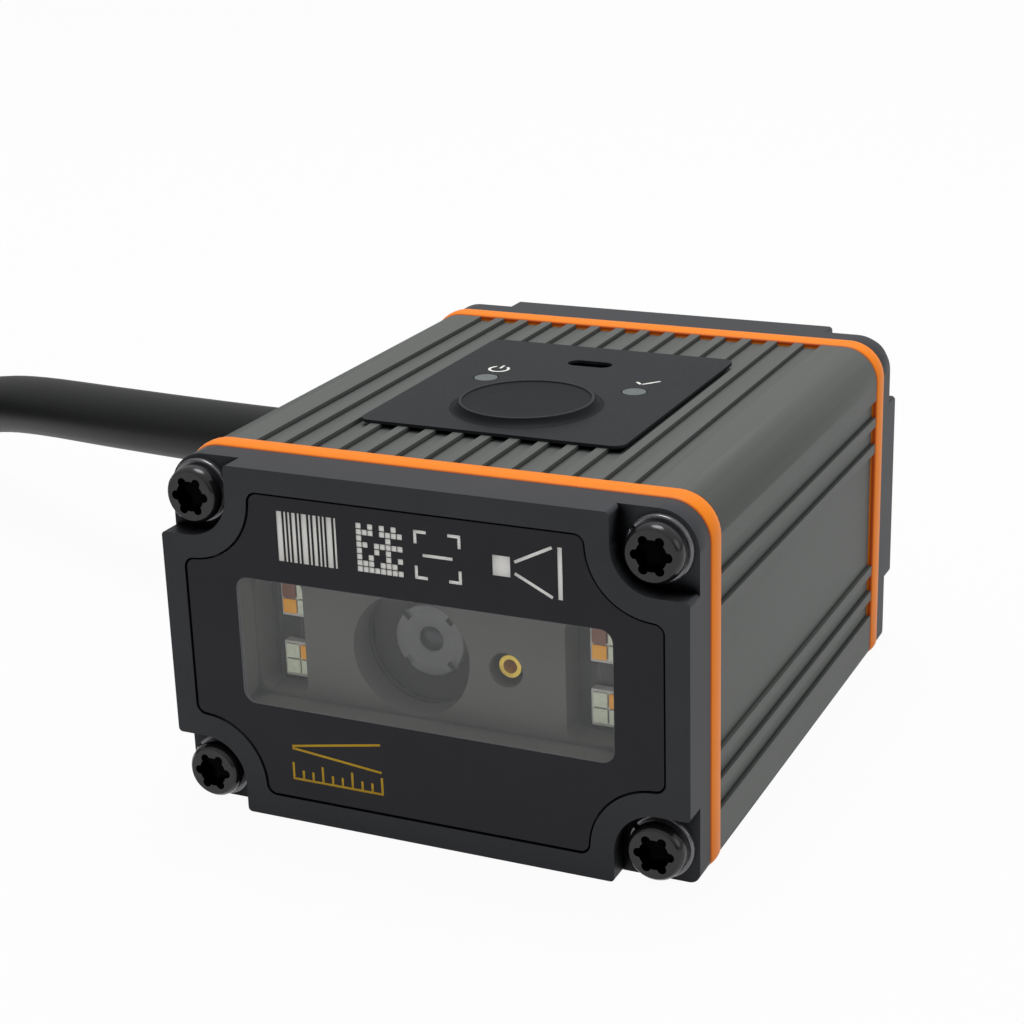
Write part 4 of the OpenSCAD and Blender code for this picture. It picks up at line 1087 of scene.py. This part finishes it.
class READER_OT_stage(bpy.types.Operator):
    """Sets up the camera, the lamps, the sky and the floor"""

    bl_idname = "reader.stage"
    bl_label = "Stage"

    def execute(self, context):
        scene = context.scene
        settings = stage_settings()
        scene.view_settings.view_transform = "Standard"
        self.make_camera(scene, settings.lens)
        self.make_lamp("key_lamp", *KEY_LAMP, settings.key_power)
        self.make_lamp("fill_lamp", *FILL_LAMP, settings.fill_power)
        world = bpy.data.worlds.new("sky")
        world.use_nodes = True
        self.paint_sky(world.node_tree, settings.sky)
        scene.world = world
        self.make_floor(settings.floor_white)
        return {"FINISHED"}

    def paint_sky(self, tree, strength):
        """Even white light overhead and behind, which falls off softly towards the horizon at the front: by the
        dot product of the view's direction with SKY_WAY."""
        place = tree.nodes.new("ShaderNodeTexCoord")
        dot = tree.nodes.new("ShaderNodeVectorMath")
        dot.operation = "DOT_PRODUCT"
        dot.inputs[1].default_value = SKY_WAY
        fall = tree.nodes.new("ShaderNodeMapRange")
        fall.interpolation_type = "SMOOTHSTEP"
        levels = [level * strength for level in SKY_LEVELS]
        for key, value in zip(("From Min", "From Max", "To Min", "To Max"), (*SKY_DOTS, *levels)):
            fall.inputs[key].default_value = value
        tree.links.new(place.outputs["Generated"], dot.inputs[0])
        tree.links.new(dot.outputs["Value"], fall.inputs["Value"])
        tree.links.new(fall.outputs["Result"], tree.nodes["Background"].inputs["Strength"])
        tree.nodes["Background"].inputs["Color"].default_value = (1, 1, 1, 1)

    def make_camera(self, scene, lens):
        """Camera at CAMERA_EYE, whose right, up and back are CAMERA_AXES."""
        data = bpy.data.cameras.new("camera")
        data.sensor_fit, data.sensor_width, data.lens = "HORIZONTAL", 36, lens
        data.clip_start, data.clip_end = 0.01, 20
        camera = bpy.data.objects.new("camera", data)
        turn = Matrix(CAMERA_AXES).transposed().to_4x4()
        camera.matrix_world = Matrix.Translation(Vector(CAMERA_EYE)) @ turn
        scene.collection.objects.link(camera)
        scene.camera = camera

    def make_lamp(self, name, place, size, power):
        """Round soft lamp that looks at LAMP_AIM."""
        data = bpy.data.lights.new(name, "AREA")
        data.shape, data.size, data.energy = "DISK", size, power
        lamp = bpy.data.objects.new(name, data)
        look = Vector(LAMP_AIM) - Vector(place)
        turn = look.to_track_quat("-Z", "Y").to_matrix().to_4x4()
        lamp.matrix_world = Matrix.Translation(Vector(place)) @ turn
        bpy.context.scene.collection.objects.link(lamp)

    def make_floor(self, white):
        """Flat square floor; seen directly, in gloss or through glass it is mostly plain white, and the rest of
        it takes the light and the object's shadow."""
        edge = np.array([-FLOOR_HALF, FLOOR_HALF])
        x, y = np.meshgrid(edge, edge, indexing="ij")
        mesh = bpy.data.meshes.new("floor")
        corners = np.stack([x, y, np.zeros_like(x)], -1).reshape(-1, 3)
        mesh.from_pydata(corners.tolist(), [], [(0, 2, 3, 1)])
        floor = bpy.data.objects.new("floor", mesh)
        bpy.context.scene.collection.objects.link(floor)
        p = Paint("pale_floor")
        grain = p.noise(3, 2)
        dark, light = (shade((tone,) * 3, 1) for tone in FLOOR_TONES)
        lit = p.node("ShaderNodeBsdfDiffuse", None, {"Color": p.blend(grain, dark, light)})
        plain = p.node("ShaderNodeEmission", None, {"Color": (1, 1, 1, 1), "Strength": 1.0})
        seen = sum(p.node("ShaderNodeLightPath", output=name) for name in
                   ("Is Camera Ray", "Is Glossy Ray", "Is Transmission Ray"))
        share = seen.at_most(1.0) * white
        mesh.materials.append(p.output(p.node("ShaderNodeMixShader", None, {0: share, 1: lit, 2: plain})))


class READER_PT_panel(bpy.types.Panel):
    """Lists the reader's pieces and settings"""

    bl_idname = "READER_PT_panel"
    bl_label = "Fixed barcode reader"
    bl_space_type = "VIEW_3D"
    bl_region_type = "UI"
    bl_category = "Reader"

    def draw(self, context):
        for operator in OPERATORS:
            self.layout.operator(operator.bl_idname)
        for group in (colours(), sizes(), stage_settings()):
            box = self.layout.box()
            for key in group.__annotations__:
                box.prop(group, key)


OPERATORS = (READER_OT_stage, READER_OT_cable, READER_OT_body, READER_OT_front, READER_OT_inside, READER_OT_top,
             READER_OT_signs)
GROUPS = {"reader_colours": ReaderColours, "reader_sizes": ReaderSizes, "reader_stage": ReaderStage}
CLASSES = tuple(GROUPS.values()) + OPERATORS + (READER_PT_panel,)


def register():
    for cls in CLASSES:
        bpy.utils.register_class(cls)
    for name, group in GROUPS.items():
        setattr(bpy.types.Scene, name, bpy.props.PointerProperty(type=group))


def unregister():
    for name in GROUPS:
        delattr(bpy.types.Scene, name)
    for cls in reversed(CLASSES):
        bpy.utils.unregister_class(cls)


def main():
    register()
    for operator in OPERATORS:
        family, name = operator.bl_idname.split(".")
        getattr(getattr(bpy.ops, family), name)()


if __name__ == "__main__":
    main()
